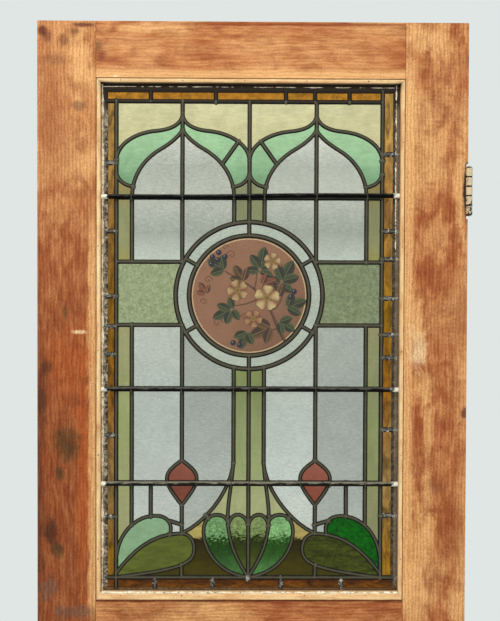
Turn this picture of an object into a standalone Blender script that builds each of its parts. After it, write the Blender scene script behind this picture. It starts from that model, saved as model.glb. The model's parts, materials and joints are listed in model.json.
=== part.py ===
"""A half-glazed softwood door with a leaded light of coloured glass, on two butt hinges.

Metres, +Z up, +X to the right. The face with the glazing beads and the hinge knuckles looks
along -Y. The origin is the middle of the upper jamb leaf, on the face that lies on the jamb.
"""

from math import ceil, cos, pi, radians, sin

import bmesh
import bpy
import numpy as np
from mathutils import Vector
from mathutils.geometry import delaunay_2d_cdt, interpolate_bezier

# Door frame: widths and heights as seen from the beaded face
DOOR_WIDTH = 0.813
DOOR_HEIGHT = 2.032
DOOR_THICKNESS = 0.044
LOCK_STILE = 0.110
HANGING_STILE = 0.119
TOP_RAIL = 0.106
GLAZED_HEIGHT = 0.9894
LOCK_RAIL = 0.190
BOTTOM_RAIL = 0.230
MUNTIN = 0.095

# Joinery
FIT = 0.0003
TENON_THICKNESS = 0.014
TENON_LENGTH = 0.070
TENON_SHOULDER = 0.014
TENON_HEIGHT = 0.070
STUB_TENON = 0.030
PANEL_THICKNESS = 0.010
GROOVE_DEPTH = 0.009
SPLAY = 0.006

# Glazing: the lip behind the light, and the beads in front of it
LIP = 0.010
BEAD_WIDTH = 0.009
SILL_BEAD = 0.016
BEAD_DEPTH = 0.013
BEAD_SET_BACK = 0.001
PANEL_SIDE_ROOM = 0.0035
PANEL_FOOT_ROOM = 0.003
PANEL_HEAD_ROOM = 0.007

# Leaded light
CAME_FACE = 0.0085
RING_CAME_FACE = 0.0095
EDGE_CAME_FACE = 0.0175
CAME_DEPTH = 0.006
GLASS_THICKNESS = 0.003
GLASS_COVER = 0.0036
BAR_DIAMETER = 0.009
BAR_SOCKET = 0.008

# Butt hinges
HINGE_FROM_TOP = 0.317
HINGE_FROM_BOTTOM = 0.275
LEAF_HEIGHT = 0.089
LEAF_WIDTH = 0.030
LEAF_THICKNESS = 0.0028
LEAF_GAP = 0.0015
BARREL_DIAMETER = 0.0122
BARREL_STAND_OFF = 0.0065
KNUCKLES = 5
PIN_DIAMETER = 0.006
PIN_HEAD_DIAMETER = 0.009
PIN_HEAD_FLAT = 0.0055
PIN_HEAD_HEIGHT = 0.0025
HOUSING_HEIGHT = 0.104

# Numbers of flat sides on round pieces, the most that one step of a curve turns, and how far
# the lead's outlines may be straightened
BARREL_SIDES = 10
BAR_SIDES = 8
RING_SIDES = 24
CURVE_TURN = radians(30)
OUTLINE_SLACK = 0.0004

# Where the main planes lie
EDGE_X = -(LEAF_THICKNESS + LEAF_GAP)
LEFT_X = EDGE_X - DOOR_WIDTH
FRONT_Y = -LEAF_WIDTH / 2
BACK_Y = FRONT_Y + DOOR_THICKNESS
MIDDLE_Y = FRONT_Y + DOOR_THICKNESS / 2
TOP_Z = HINGE_FROM_TOP
BOTTOM_Z = TOP_Z - DOOR_HEIGHT
OPENING_LEFT = LEFT_X + LOCK_STILE
OPENING_RIGHT = EDGE_X - HANGING_STILE
OPENING_WIDTH = OPENING_RIGHT - OPENING_LEFT
OPENING_TOP = TOP_Z - TOP_RAIL
OPENING_BOTTOM = OPENING_TOP - GLAZED_HEIGHT
PANEL_TOP = OPENING_BOTTOM - LOCK_RAIL
PANEL_BOTTOM = BOTTOM_Z + BOTTOM_RAIL
MUNTIN_LEFT = (OPENING_LEFT + OPENING_RIGHT - MUNTIN) / 2
MUNTIN_RIGHT = MUNTIN_LEFT + MUNTIN
BEAD_BACK_Y = FRONT_Y + BEAD_SET_BACK + BEAD_DEPTH
CAME_FRONT_Y = BEAD_BACK_Y + FIT
CAME_BACK_Y = CAME_FRONT_Y + CAME_DEPTH
LIP_Y = CAME_BACK_Y + FIT
GLASS_Y = (CAME_FRONT_Y + CAME_BACK_Y) / 2
BAR_Y = CAME_FRONT_Y - FIT - BAR_DIAMETER / 2
PIN_X = EDGE_X + LEAF_GAP / 2
PIN_Y = FRONT_Y - BARREL_STAND_OFF
HINGES = {"upper": 0.0, "lower": BOTTOM_Z + HINGE_FROM_BOTTOM}
OVERCUT = 0.002
SMALLEST_OPENING = 1.2e-5

# The leads are drawn on a sheet of 584 by 987 that is stretched over the glazed opening. It was
# drawn as the leads look past the beads, from in front, and they lie a little behind the door's
# face. So the sheet reaches past the opening on every side, most on the sides farthest away.
# Across counts to both sides of the middle lead, and down counts from the sheet's top.
SHEET_WIDTH = 584
SHEET_HEIGHT = 987
SHEET_PAST_LEFT = 0.0021
SHEET_PAST_RIGHT = 0.0024
SHEET_PAST_HEAD = 0.0031
SHEET_PAST_FOOT = 0.0021
SHEET_SPAN_X = SHEET_PAST_LEFT + OPENING_WIDTH + SHEET_PAST_RIGHT
SHEET_SPAN_Z = SHEET_PAST_HEAD + GLAZED_HEIGHT + SHEET_PAST_FOOT
MIDDLE = 289.7
BORDER = 251.0
STRIP = 221.6
AXIS = 126.5
INNER = 28.7
STALK = 185.3
HEAD_LEAD = 44
BAR_DOWNS = (224, 586.5, 765.5)
SQUARE_TOP = 346
SQUARE_BOTTOM = 465.5
FOOT_LEAD = 945.5
RING_DOWN = 409.5
RING_OUTER = 139
RING_INNER = 113.5
RING_SPOKES = 6
BUD_TOP = 722
BUD_FOOT = 808
SWEEP_TOP = 728
LEAF_JOINT = 861.5
HEAD_CUTS = (103.5, 226, 358, 413, 478)
FOOT_CUTS = (112.5, 222, 351.5, 466)
LEFT_CUTS = (160, 288.5, 411, 468, 521, 674.5, 830)
RIGHT_CUTS = (142, 287, 340, 414, 483, 526.5, 663, 827)


def clear_scene():
    for old in list(bpy.data.objects):
        bpy.data.objects.remove(old, do_unlink=True)


def new_collection(name):
    collection = bpy.data.collections.new(name)
    bpy.context.scene.collection.children.link(collection)
    return collection


clear_scene()
PARTS = new_collection("half_glazed_door")
CUTTERS = new_collection("cutters")


def material(name, colour, roughness, metallic=0.0):
    """A Principled material, made once for each name."""
    made = bpy.data.materials.get(name)
    if made is None:
        made = bpy.data.materials.new(name)
        made.use_nodes = True
        shader = made.node_tree.nodes["Principled BSDF"]
        shader.inputs["Base Color"].default_value = (*colour, 1.0)
        shader.inputs["Roughness"].default_value = roughness
        shader.inputs["Metallic"].default_value = metallic
    return made


def pine():
    return material("stripped_pine", (0.55, 0.28, 0.10), 0.6)


def lead():
    return material("lead", (0.10, 0.10, 0.10), 0.55, 0.6)


def iron():
    return material("painted_iron", (0.16, 0.13, 0.11), 0.5, 0.5)


def glass(name, colour):
    return material(name, colour, 0.15)


def add_object(name, data, place, parent, finish):
    """Link a piece, or a cutter when it has no finish, at a world place under its parent."""
    made = bpy.data.objects.new(name, data)
    made.parent = parent
    made.location = Vector(place) - (parent.location if parent else Vector())
    if finish is None:
        CUTTERS.objects.link(made)
        made.hide_render = True
        made.display_type = "WIRE"
    else:
        PARTS.objects.link(made)
        data.materials.append(finish)
    return made


def mesh_of(name, shape):
    """A mesh from a bmesh, which is freed."""
    mesh = bpy.data.meshes.new(name)
    shape.to_mesh(mesh)
    shape.free()
    return mesh


def box(name, low, high, parent, finish=None):
    """A block between two opposite corners, with its origin in its middle."""
    size = [b - a for a, b in zip(low, high)]
    middle = [(a + b) / 2 for a, b in zip(low, high)]
    shape = bmesh.new()
    bmesh.ops.create_cube(shape, size=1)
    bmesh.ops.scale(shape, vec=size, verts=shape.verts)
    return add_object(name, mesh_of(name, shape), middle, parent, finish)


def boxes(name, corners, parent):
    """One cutter of several separate blocks, each between two opposite corners."""
    shape = bmesh.new()
    for low, high in corners:
        block = bmesh.ops.create_cube(shape, size=1)["verts"]
        bmesh.ops.scale(shape, vec=[b - a for a, b in zip(low, high)], verts=block)
        bmesh.ops.translate(shape, vec=[(a + b) / 2 for a, b in zip(low, high)], verts=block)
    return add_object(name, mesh_of(name, shape), (0, 0, 0), parent, None)


def span(x, y, z):
    """Two opposite corners of a block, from its reach on each axis."""
    return tuple(zip(x, y, z))


def grown(low, high, margin=FIT):
    """The same block with a margin on every side."""
    return [a - margin for a in low], [b + margin for b in high]


def rods(name, spans, diameter, sides, place, parent, along_x=False, finish=None):
    """One mesh of round rods on one axis, each from its start to its end."""
    shape = bmesh.new()
    for start, end in spans:
        rod = bmesh.ops.create_cone(
            shape, cap_ends=True, segments=sides, radius1=diameter / 2, radius2=diameter / 2,
            depth=end - start)["verts"]
        bmesh.ops.translate(shape, vec=(0, 0, (start + end) / 2), verts=rod)
    if along_x:
        for vert in shape.verts:
            vert.co = Vector((vert.co.z, vert.co.y, -vert.co.x))
    made = add_object(name, mesh_of(name, shape), place, parent, finish)
    made.data.shade_smooth()
    made.data.set_sharp_from_angle(angle=pi / 4)
    return made


def combine(piece, other, operation="DIFFERENCE"):
    """Cut the other object out of a piece, or join it on."""
    step = piece.modifiers.new(other.name, "BOOLEAN")
    step.operation = operation
    step.solver = "EXACT"
    step.object = other


def cut_all(piece, cutters):
    for cutter in cutters:
        combine(piece, cutter)


def plate(name, loops, y, thickness, parent, finish=None):
    """A flat plate facing the front, from outlines in world X and Z."""
    curve = bpy.data.curves.new(name, "CURVE")
    curve.dimensions = "2D"
    curve.fill_mode = "BOTH"
    curve.extrude = thickness / 2
    for loop in loops:
        spline = curve.splines.new("POLY")
        spline.points.add(len(loop) - 1)
        spline.use_cyclic_u = True
        for point, (x, z) in zip(spline.points, loop):
            point.co = (x, z, 0, 1)
    made = add_object(name, curve, (0, y, 0), parent, finish)
    made.rotation_euler.x = pi / 2
    return made


def as_mesh(flat):
    """Turn a plate into a welded mesh object that can be cut or can cut, with whole flat faces."""
    bpy.context.view_layer.update()
    evaluated = flat.evaluated_get(bpy.context.evaluated_depsgraph_get())
    mesh = bpy.data.meshes.new_from_object(evaluated)
    shape = bmesh.new()
    shape.from_mesh(mesh)
    bmesh.ops.remove_doubles(shape, verts=shape.verts, dist=1e-6)
    bmesh.ops.dissolve_limit(shape, angle_limit=0.001, verts=shape.verts, edges=shape.edges)
    shape.to_mesh(mesh)
    shape.free()
    name = flat.name
    made = bpy.data.objects.new(name, mesh)
    for home in flat.users_collection:
        home.objects.link(made)
    made.parent = flat.parent
    made.location = flat.location
    made.rotation_euler = flat.rotation_euler
    made.hide_render = flat.hide_render
    made.display_type = flat.display_type
    bpy.data.objects.remove(flat, do_unlink=True)
    made.name = name
    return made


def splay(name, x, z, face_y, inward, parent):
    """A cutter that slopes the arris all round an opening, on one face of the door."""
    shape = bmesh.new()
    bmesh.ops.create_cube(shape, size=2)
    for vert in shape.verts:
        outside = vert.co.y * inward < 0
        spread = SPLAY + OVERCUT if outside else -OVERCUT
        vert.co.x *= (x[1] - x[0]) / 2 + spread
        vert.co.z *= (z[1] - z[0]) / 2 + spread
        vert.co.y = inward * (-OVERCUT if outside else SPLAY + OVERCUT)
    return add_object(name, mesh_of(name, shape), (sum(x) / 2, face_y, sum(z) / 2), parent, None)


class Came:
    """A run of lead: its centre line on the sheet, half its face, and whether glass runs on behind."""

    def __init__(self, points, through=False, face=CAME_FACE):
        self.line = [on_door(*point) for point in points]
        self.half_face = face / 2
        self.through = through


def on_door(across, down):
    """World X and Z of a point of the sheet."""
    return Vector((
        OPENING_LEFT - SHEET_PAST_LEFT + across / SHEET_WIDTH * SHEET_SPAN_X,
        OPENING_TOP + SHEET_PAST_HEAD - down / SHEET_HEIGHT * SHEET_SPAN_Z))


def bezier_steps(stretch):
    """How many straight steps a Bezier stretch needs for its bends."""
    ways = [b - a for a, b in zip(stretch, stretch[1:]) if (b - a).length > 0]
    return max(2, ceil(sum(a.angle(b) for a, b in zip(ways, ways[1:])) / CURVE_TURN))


def swept(side, *knots, centre=0):
    """Points along Bezier stretches, with knots and handles as offsets to one side of the middle."""
    placed = [Vector((MIDDLE + side * (centre + off), down)) for off, down in knots]
    points = [placed[0]]
    for i in range(0, len(placed) - 1, 3):
        stretch = placed[i:i + 4]
        points += interpolate_bezier(*stretch, bezier_steps(stretch) + 1)[1:]
    return points


def level(down, start, end, **kind):
    return Came([(start, down), (end, down)], **kind)


def upright(across, start, end, **kind):
    return Came([(across, start), (across, end)], **kind)


def edge_lines():
    """Left, right, head and foot of the edge came's centre line, on the sheet."""
    half = EDGE_CAME_FACE / 2
    left = (SHEET_PAST_LEFT + PANEL_SIDE_ROOM + half) / SHEET_SPAN_X * SHEET_WIDTH
    right = (SHEET_PAST_RIGHT + PANEL_SIDE_ROOM + half) / SHEET_SPAN_X * SHEET_WIDTH
    head = (SHEET_PAST_HEAD + PANEL_HEAD_ROOM + half) / SHEET_SPAN_Z * SHEET_HEIGHT
    foot = (SHEET_PAST_FOOT + PANEL_FOOT_ROOM + half) / SHEET_SPAN_Z * SHEET_HEIGHT
    return left, SHEET_WIDTH - right, head, SHEET_HEIGHT - foot


def edge_cames():
    """The wide lead round the panel, and the border of amber strips inside it."""
    left, right, head, foot = edge_lines()
    corners = [(left, head), (right, head), (right, foot), (left, foot), (left, head)]
    border_left = MIDDLE - BORDER
    border_right = MIDDLE + BORDER
    runs = [
        Came(corners, face=EDGE_CAME_FACE),
        level(HEAD_LEAD, left, border_right),
        upright(border_right, head, FOOT_LEAD),
        level(FOOT_LEAD, left, right),
        upright(border_left, HEAD_LEAD, FOOT_LEAD),
        upright(border_left, FOOT_LEAD, foot, through=True),
    ]
    runs += [upright(cut, head, HEAD_LEAD, through=True) for cut in HEAD_CUTS]
    runs += [upright(cut, FOOT_LEAD, foot, through=True) for cut in FOOT_CUTS]
    runs += [level(cut, left, border_left, through=True) for cut in LEFT_CUTS]
    runs += [level(cut, border_right, right, through=True) for cut in RIGHT_CUTS]
    return runs


def ring_crossing(off, radius=RING_OUTER):
    """How far above and below the ring's middle an upright at this offset meets the ring."""
    return (radius ** 2 - off ** 2) ** 0.5


def bar_cames():
    """The level leads under the three bars, and the ones above and below the squares."""
    border_left = MIDDLE - BORDER
    border_right = MIDDLE + BORDER
    runs = [level(down, border_left, border_right, through=True) for down in BAR_DOWNS]
    for down in (SQUARE_TOP, SQUARE_BOTTOM):
        reach = ring_crossing(abs(down - RING_DOWN))
        runs.append(level(down, border_left, MIDDLE - reach))
        runs.append(level(down, MIDDLE + reach, border_right))
    return runs


def middle_cames():
    """The upright lead down the middle, broken by the ring."""
    band_foot = 190
    petal_top = 844
    return [
        upright(MIDDLE, HEAD_LEAD, band_foot),
        upright(MIDDLE, band_foot, RING_DOWN - RING_OUTER, through=True),
        upright(MIDDLE, RING_DOWN + RING_OUTER, petal_top),
        upright(MIDDLE, petal_top, FOOT_LEAD, through=True),
    ]


def ring_cames():
    """The two circles round the painted roundel, and the short leads between them."""
    runs = []
    for radius in (RING_OUTER, RING_INNER):
        turn = [2 * pi * i / RING_SIDES for i in range(RING_SIDES + 1)]
        points = [(MIDDLE + radius * cos(a), RING_DOWN + radius * sin(a)) for a in turn]
        runs.append(Came(points, face=RING_CAME_FACE))
    for i in range(RING_SPOKES):
        angle = pi / 6 + 2 * pi * i / RING_SPOKES
        runs.append(Came(
            [(MIDDLE + r * cos(angle), RING_DOWN + r * sin(angle)) for r in (RING_INNER, RING_OUTER)],
            through=True))
    return runs


def arch_cames(side):
    """One ogee arch: two halves, each with a green band between an outer and an inner lead."""
    tip = 66
    inner_tip = 96
    spring = 222
    runs = [
        upright(MIDDLE + side * AXIS, HEAD_LEAD, tip, through=True),
        upright(MIDDLE + side * AXIS, tip, inner_tip),
        upright(MIDDLE + side * AXIS, inner_tip, SQUARE_TOP, through=True),
    ]
    for outward, reach, spread in ((1, BORDER - AXIS, STRIP - AXIS), (-1, AXIS, AXIS - INNER)):
        outer = [(0, tip), (0, 86), (20, 97), (50, 99.5), (82, 102), (reach - 2, 120), (reach, 154)]
        under = [(reach, 180), (reach - 4, 194), (spread + 14, 202), (spread, 204)]
        inner = [(0, inner_tip), (4, 108), (24, 124), (40, 133),
                 (68, 149), (spread - 1, 178), (spread, spring)]
        runs += [Came(swept(side, *((outward * off, down) for off, down in line), centre=AXIS))
                 for line in (outer, under, inner)]
    runs.append(Came(
        [(MIDDLE + side * (AXIS - 104), 121), (MIDDLE + side * (AXIS - 79), 158)], through=True))
    return runs


def upright_cames(side):
    """The long uprights on one side: beside the border strip, on the arch's axis and by the middle."""
    spring = 222
    axis = MIDDLE + side * AXIS
    strip = MIDDLE + side * STRIP
    inner = MIDDLE + side * INNER
    stub_top = 924
    return [
        upright(strip, spring, SQUARE_TOP),
        upright(strip, SQUARE_BOTTOM, 846),
        upright(axis, RING_DOWN + ring_crossing(AXIS), BUD_TOP),
        upright(axis, BUD_FOOT, LEAF_JOINT),
        upright(axis, stub_top, FOOT_LEAD, through=True),
        upright(inner, spring, RING_DOWN - ring_crossing(INNER)),
        upright(inner, RING_DOWN + ring_crossing(INNER), SWEEP_TOP),
        upright(MIDDLE + side * STALK, BAR_DOWNS[2], 829, through=True),
    ]


def bud_came(side):
    """The closed outline of the red bud on its stem."""
    half = [(0, BUD_TOP), (12, 732), (28.5, 741), (28.5, 757), (28.5, 772), (12, 792), (0, BUD_FOOT)]
    right = swept(side, *half, centre=AXIS)
    left = swept(side, *((-off, down) for off, down in half), centre=AXIS)
    return Came(right + left[-2::-1])


def leaf_cames(side):
    """The two leaves at the foot of a stem, and the short lead from the leaf to the stem."""
    top = [(BORDER, 912), (248, 862), (215, 828), (176, 828), (158, 828), (147, 838), (147, 853),
           (147, 858), (148, 863), (151, 868)]
    middle = [(BORDER, 938), (222, 898), (185, 862), (AXIS, LEAF_JOINT)]
    foot = [(AXIS, LEAF_JOINT), (112, 862), (102, 875), (102.5, 893),
            (103, 922), (140, 932), (BORDER, FOOT_LEAD)]
    link = [(MIDDLE + side * 151, 836), (MIDDLE + side * AXIS, 845)]
    return [Came(swept(side, *line)) for line in (top, middle, foot)] + [Came(link, through=True)]


def flower_cames(side):
    """The sweep from the middle strip to the stem, and one side's petals."""
    joint = 828
    sweep = [(INNER, SWEEP_TOP), (33, 775), (75, 838), (AXIS, LEAF_JOINT)]
    lean = [(INNER, SWEEP_TOP), (31, 765), (39, 800), (39, joint)]
    fold = [(39, joint), (40, 870), (27, 905), (0, FOOT_LEAD)]
    outer = [(39, 838), (44, 822), (85, 816), (85, 858), (85, 893), (58, 938), (0, FOOT_LEAD)]
    inner = [(38, 846), (34, 819), (8, 819), (0, 844)]
    touch = [(MIDDLE + side * 76, 833), (MIDDLE + side * 82, 826)]
    return [
        Came(touch),
        Came(swept(side, *sweep)),
        Came(swept(side, *lean), through=True),
        Came(swept(side, *fold)),
        Came(swept(side, *outer)),
        Came(swept(side, *inner)),
    ]


def all_cames():
    runs = edge_cames() + bar_cames() + middle_cames() + ring_cames()
    for side in (-1, 1):
        runs += arch_cames(side) + upright_cames(side) + leaf_cames(side) + flower_cames(side)
        runs.append(bud_came(side))
    meet(runs)
    return runs


def nearest_on(line, point):
    """The point of a line that lies nearest to a given one."""
    best = None
    for start, end in zip(line, line[1:]):
        way = end - start
        share = min(max((point - start).dot(way) / way.length_squared, 0.0), 1.0)
        here = start + way * share
        if best is None or (here - point).length < (best - point).length:
            best = here
    return best


def is_closed(line):
    return (line[0] - line[-1]).length < 1e-7


def meet(runs):
    """Bring each open end onto the middle of the lead that it runs into."""
    for run in runs:
        if is_closed(run.line):
            continue
        for end in (0, -1):
            found = [nearest_on(other.line, run.line[end]) for other in runs if other is not run]
            closest = min(found, key=lambda point: (point - run.line[end]).length)
            if (closest - run.line[end]).length < CAME_FACE:
                run.line[end] = closest


def strip_tiles(line, half):
    """Convex tiles that cover a line to half its width: a block a stretch, and a kite a bend."""
    ways = [(b - a).normalized() for a, b in zip(line, line[1:])]
    sides = [Vector((-way.y, way.x)) * half for way in ways]
    tiles = [(a - side, b - side, b + side, a + side)
             for a, b, side in zip(line, line[1:], sides)]
    bends = [(line[i], ways[i - 1], ways[i]) for i in range(0 if is_closed(line) else 1, len(ways))]
    for point, before, after in bends:
        turn = before.cross(after)
        if abs(turn) < 1e-5:
            continue
        outside = -half if turn > 0 else half
        first = point + Vector((-before.y, before.x)) * outside
        last = point + Vector((-after.y, after.x)) * outside
        middle = (first + last) / 2 - point
        tip = point + middle * min(half / middle.length, 2.0) ** 2
        kite = (point, first, tip, last)
        tiles.append(kite if turn > 0 else kite[::-1])
    return tiles


def directed_rim(triangles):
    """Edges of a set of triangles that only one of them has, as start to end."""
    edges = {(t[i], t[(i + 1) % 3]) for t in triangles for i in range(3)}
    rim = {}
    for start, end in edges:
        if (end, start) not in edges:
            rim.setdefault(start, []).append(end)
    return rim


def rim_loops(rim, points, slack):
    loops = []
    while rim:
        start = next(iter(rim))
        loop = [start]
        here = start
        while True:
            onward = rim[here].pop()
            if not rim[here]:
                del rim[here]
            if onward == start:
                break
            loop.append(onward)
            here = onward
        loops.append(straightened([points[i] for i in loop], slack))
    return [loop for loop in loops if area(loop) > SMALLEST_OPENING]


def area(loop):
    return abs(sum(a.cross(b) for a, b in zip(loop, loop[1:] + loop[:1]))) / 2


def straightened(loop, slack):
    """The loop without points that lie on the line between their neighbours."""
    kept = list(loop)
    i = 0
    while i < len(kept) and len(kept) > 3:
        before, here, after = kept[i - 1], kept[i], kept[(i + 1) % len(kept)]
        way = after - before
        off_line = abs((here - before).cross(way)) / max(way.length, 1e-9)
        if off_line < slack:
            kept.pop(i)
            i = max(i - 1, 0)
        else:
            i += 1
    return kept


def covered(spots, tile):
    """Which of the spots lie inside a convex tile."""
    corners = np.array(tile)
    ways = np.roll(corners, -1, axis=0) - corners
    inside = np.ones(len(spots), dtype=bool)
    for corner, way in zip(corners, ways):
        off = spots - corner
        inside &= way[0] * off[:, 1] - way[1] * off[:, 0] > 0
    return inside


def neighbours(triangles):
    """For each triangle, the others that share an edge with it."""
    owners = {}
    for t in triangles:
        for i in range(3):
            owners.setdefault(frozenset((t[i], t[(i + 1) % 3])), []).append(t)
    beside = {t: set() for t in triangles}
    for pair in owners.values():
        for t in pair:
            beside[t].update(pair)
    return beside


def open_regions(runs, inset, slack):
    """Outlines of what the leads leave open when each one's half face is narrowed by the inset."""
    tiles = [tile for run in runs for tile in strip_tiles(run.line, run.half_face - inset)]
    points = [corner for tile in tiles for corner in tile]
    edges, first = [], 0
    for tile in tiles:
        count = len(tile)
        edges += [(first + i, first + (i + 1) % count) for i in range(count)]
        first += count
    points, _, triangles, _, _, _ = delaunay_2d_cdt(points, edges, [], 0, 1e-7)
    spots = np.array([[sum(points[i][axis] for i in t) / 3 for axis in (0, 1)] for t in triangles])
    lead_covers = np.zeros(len(spots), dtype=bool)
    for tile in tiles:
        lead_covers |= covered(spots, tile)
    beside = neighbours([tuple(t) for t, hidden in zip(triangles, lead_covers) if not hidden])
    regions = []
    while beside:
        group, waiting = [], [next(iter(beside))]
        while waiting:
            triangle = waiting.pop()
            if triangle in beside:
                group.append(triangle)
                waiting += beside.pop(triangle)
        regions.append(rim_loops(directed_rim(group), points, slack))
    return regions


def glass_seeds():
    """A spot inside each sheet of glass, by the name of its piece, on the drawing sheet."""
    upper, lower = BAR_DOWNS[0] + 12, BAR_DOWNS[1] + 12
    border = MIDDLE - BORDER - 10
    seeds = {
        "centre_light_upper": (MIDDLE + 12, upper),
        "ring_light": (MIDDLE + (RING_INNER + RING_OUTER) / 2, RING_DOWN),
        "painted_roundel": (MIDDLE, RING_DOWN),
        "inner_petals": (MIDDLE + 12, 870),
        "border_strip_head": (MIDDLE, HEAD_LEAD - 10),
        "border_strip_foot": (MIDDLE, FOOT_LEAD + 10),
        "border_strip_left": (border, RING_DOWN),
        "border_strip_right": (2 * MIDDLE - border, RING_DOWN),
    }
    offsets = {
        "top_light": (BORDER - 10, HEAD_LEAD + 12),
        "arch_band_outer": (BORDER - 10, 170),
        "arch_band_inner": (10, 170),
        "arch_light": (AXIS + 20, upper),
        "edge_light_upper": (BORDER - 12, upper),
        "speckled_square": (BORDER - 12, RING_DOWN),
        "edge_light_lower": (BORDER - 12, lower),
        "outer_light": (AXIS + 20, lower),
        "inner_light": (AXIS - 20, lower),
        "centre_light_lower": (12, lower),
        "bud": (AXIS, BUD_TOP + 25),
        "upper_leaf": (185, 850),
        "lower_leaf": (150, 890),
        "outer_petal": (62, 860),
        "ground": (92, 900),
    }
    for name, (off, down) in offsets.items():
        seeds[f"{name}_left"] = (MIDDLE - off, down)
        seeds[f"{name}_right"] = (MIDDLE + off, down)
    return seeds


GLASS_COLOURS = {
    "top_light": ("pale_yellow_glass", (0.60, 0.58, 0.33)),
    "arch_band": ("mint_glass", (0.30, 0.58, 0.34)),
    "arch_light": ("white_rippled_glass", (0.55, 0.60, 0.54)),
    "edge_light": ("olive_glass", (0.38, 0.38, 0.15)),
    "centre_light": ("olive_glass", (0.38, 0.38, 0.15)),
    "speckled_square": ("speckled_green_glass", (0.34, 0.44, 0.20)),
    "outer_light": ("white_rippled_glass", (0.55, 0.60, 0.54)),
    "inner_light": ("white_rippled_glass", (0.55, 0.60, 0.54)),
    "ring_light": ("white_rippled_glass", (0.55, 0.60, 0.54)),
    "painted_roundel": ("painted_glass", (0.28, 0.12, 0.06)),
    "bud": ("red_glass", (0.35, 0.06, 0.04)),
    "upper_leaf": ("leaf_green_glass", (0.10, 0.35, 0.14)),
    "lower_leaf": ("dark_olive_glass", (0.08, 0.11, 0.02)),
    "outer_petal": ("petal_green_glass", (0.08, 0.26, 0.08)),
    "inner_petal": ("petal_green_glass", (0.08, 0.26, 0.08)),
    "ground": ("amber_olive_glass", (0.13, 0.10, 0.01)),
    "border_strip": ("amber_glass", (0.38, 0.18, 0.02)),
}


def glass_finish(name):
    family = next(key for key in GLASS_COLOURS if name.startswith(key))
    return glass(*GLASS_COLOURS[family])


def holds(region, spot):
    """Whether a region holds a spot, counting the times a level line from it meets the outlines."""
    inside = False
    for loop in region:
        for a, b in zip(loop, loop[1:] + loop[:1]):
            if (a.y > spot.y) != (b.y > spot.y):
                if spot.x < a.x + (spot.y - a.y) / (b.y - a.y) * (b.x - a.x):
                    inside = not inside
    return inside


def region_at(regions, seed):
    spot = on_door(*seed)
    return next(region for region in regions if holds(region, spot))


def leaded_light(parent):
    """The lead net in one piece, with a seat behind it for each sheet of glass, and the sheets."""
    runs = all_cames()
    dividing = [run for run in runs if not run.through]
    sight = open_regions(runs, 0.0, OUTLINE_SLACK)
    channels = open_regions(dividing, GLASS_COVER, FIT / 10)
    sheets = open_regions(dividing, GLASS_COVER - FIT, FIT / 10)
    seeds = glass_seeds()
    net = box("lead_cames", *span(
        (OPENING_LEFT + PANEL_SIDE_ROOM, OPENING_RIGHT - PANEL_SIDE_ROOM),
        (CAME_FRONT_Y, CAME_BACK_Y),
        (OPENING_BOTTOM + PANEL_FOOT_ROOM, OPENING_TOP - PANEL_HEAD_ROOM)), parent, lead())
    seat_front_y = GLASS_Y - GLASS_THICKNESS / 2 - FIT
    seat_back_y = CAME_BACK_Y + OVERCUT
    seats = [loop for seed in seeds.values() for loop in region_at(channels, seed)]
    combine(net, as_mesh(plate(
        "glass_seats", seats, (seat_front_y + seat_back_y) / 2, seat_back_y - seat_front_y, parent)))
    holes = [loop for region in sight for loop in region]
    combine(net, as_mesh(plate("sight_openings", holes, GLASS_Y, CAME_DEPTH + OVERCUT, parent)))
    for name, seed in seeds.items():
        plate(name, region_at(sheets, seed), GLASS_Y, GLASS_THICKNESS, parent, glass_finish(name))


def rail_block(low_z, high_z):
    return span((OPENING_LEFT + FIT, OPENING_RIGHT - FIT), (FRONT_Y, BACK_Y), (low_z, high_z))


def tenon_blocks(low_z, high_z, count):
    """Tenons that stand out of both ends of a rail, spread over its height."""
    low, high = low_z + TENON_SHOULDER, high_z - TENON_SHOULDER
    height = min(TENON_HEIGHT, (high - low) / count)
    y = (MIDDLE_Y - TENON_THICKNESS / 2, MIDDLE_Y + TENON_THICKNESS / 2)
    blocks = []
    for i in range(count):
        start = low + (i + 0.5) * (high - low) / count - height / 2
        z = (start, start + height)
        blocks.append(span((OPENING_LEFT - TENON_LENGTH, OPENING_LEFT + OVERCUT), y, z))
        blocks.append(span((OPENING_RIGHT - OVERCUT, OPENING_RIGHT + TENON_LENGTH), y, z))
    return blocks


def rail(name, low_z, high_z, tenon_count, parent):
    """A rail with its tenons, and the blocks of the mortises that they fit."""
    made = box(name, *rail_block(low_z, high_z), parent, pine())
    tenons = tenon_blocks(low_z, high_z, tenon_count)
    combine(made, boxes(f"{name}_tenons", tenons, parent), "UNION")
    return made, [grown(*tenon) for tenon in tenons]


def lip(name, x, z, parent):
    """The strip behind the light, on a member's edge."""
    return box(name, *span(x, (LIP_Y, BACK_Y), z), parent)


def stile(name, x, lip_x, parent):
    made = box(name, *span(x, (FRONT_Y, BACK_Y), (BOTTOM_Z, TOP_Z)), parent, pine())
    z = (OPENING_BOTTOM + LIP + FIT, OPENING_TOP - LIP - FIT)
    combine(made, lip(f"{name}_lip", lip_x, z, parent), "UNION")
    return made


def muntin(parent):
    """The short upright between the lower panels, with a stub tenon at each end."""
    body = span(
        (MUNTIN_LEFT, MUNTIN_RIGHT), (FRONT_Y, BACK_Y), (PANEL_BOTTOM + FIT, PANEL_TOP - FIT))
    stub = span(
        (MUNTIN_LEFT + TENON_SHOULDER, MUNTIN_RIGHT - TENON_SHOULDER),
        (MIDDLE_Y - TENON_THICKNESS / 2, MIDDLE_Y + TENON_THICKNESS / 2),
        (PANEL_BOTTOM - STUB_TENON, PANEL_TOP + STUB_TENON))
    made = box("muntin", *body, parent, pine())
    combine(made, box("muntin_stubs", *stub, parent), "UNION")
    return made, box("muntin_sockets", *grown(*stub), parent)


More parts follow.
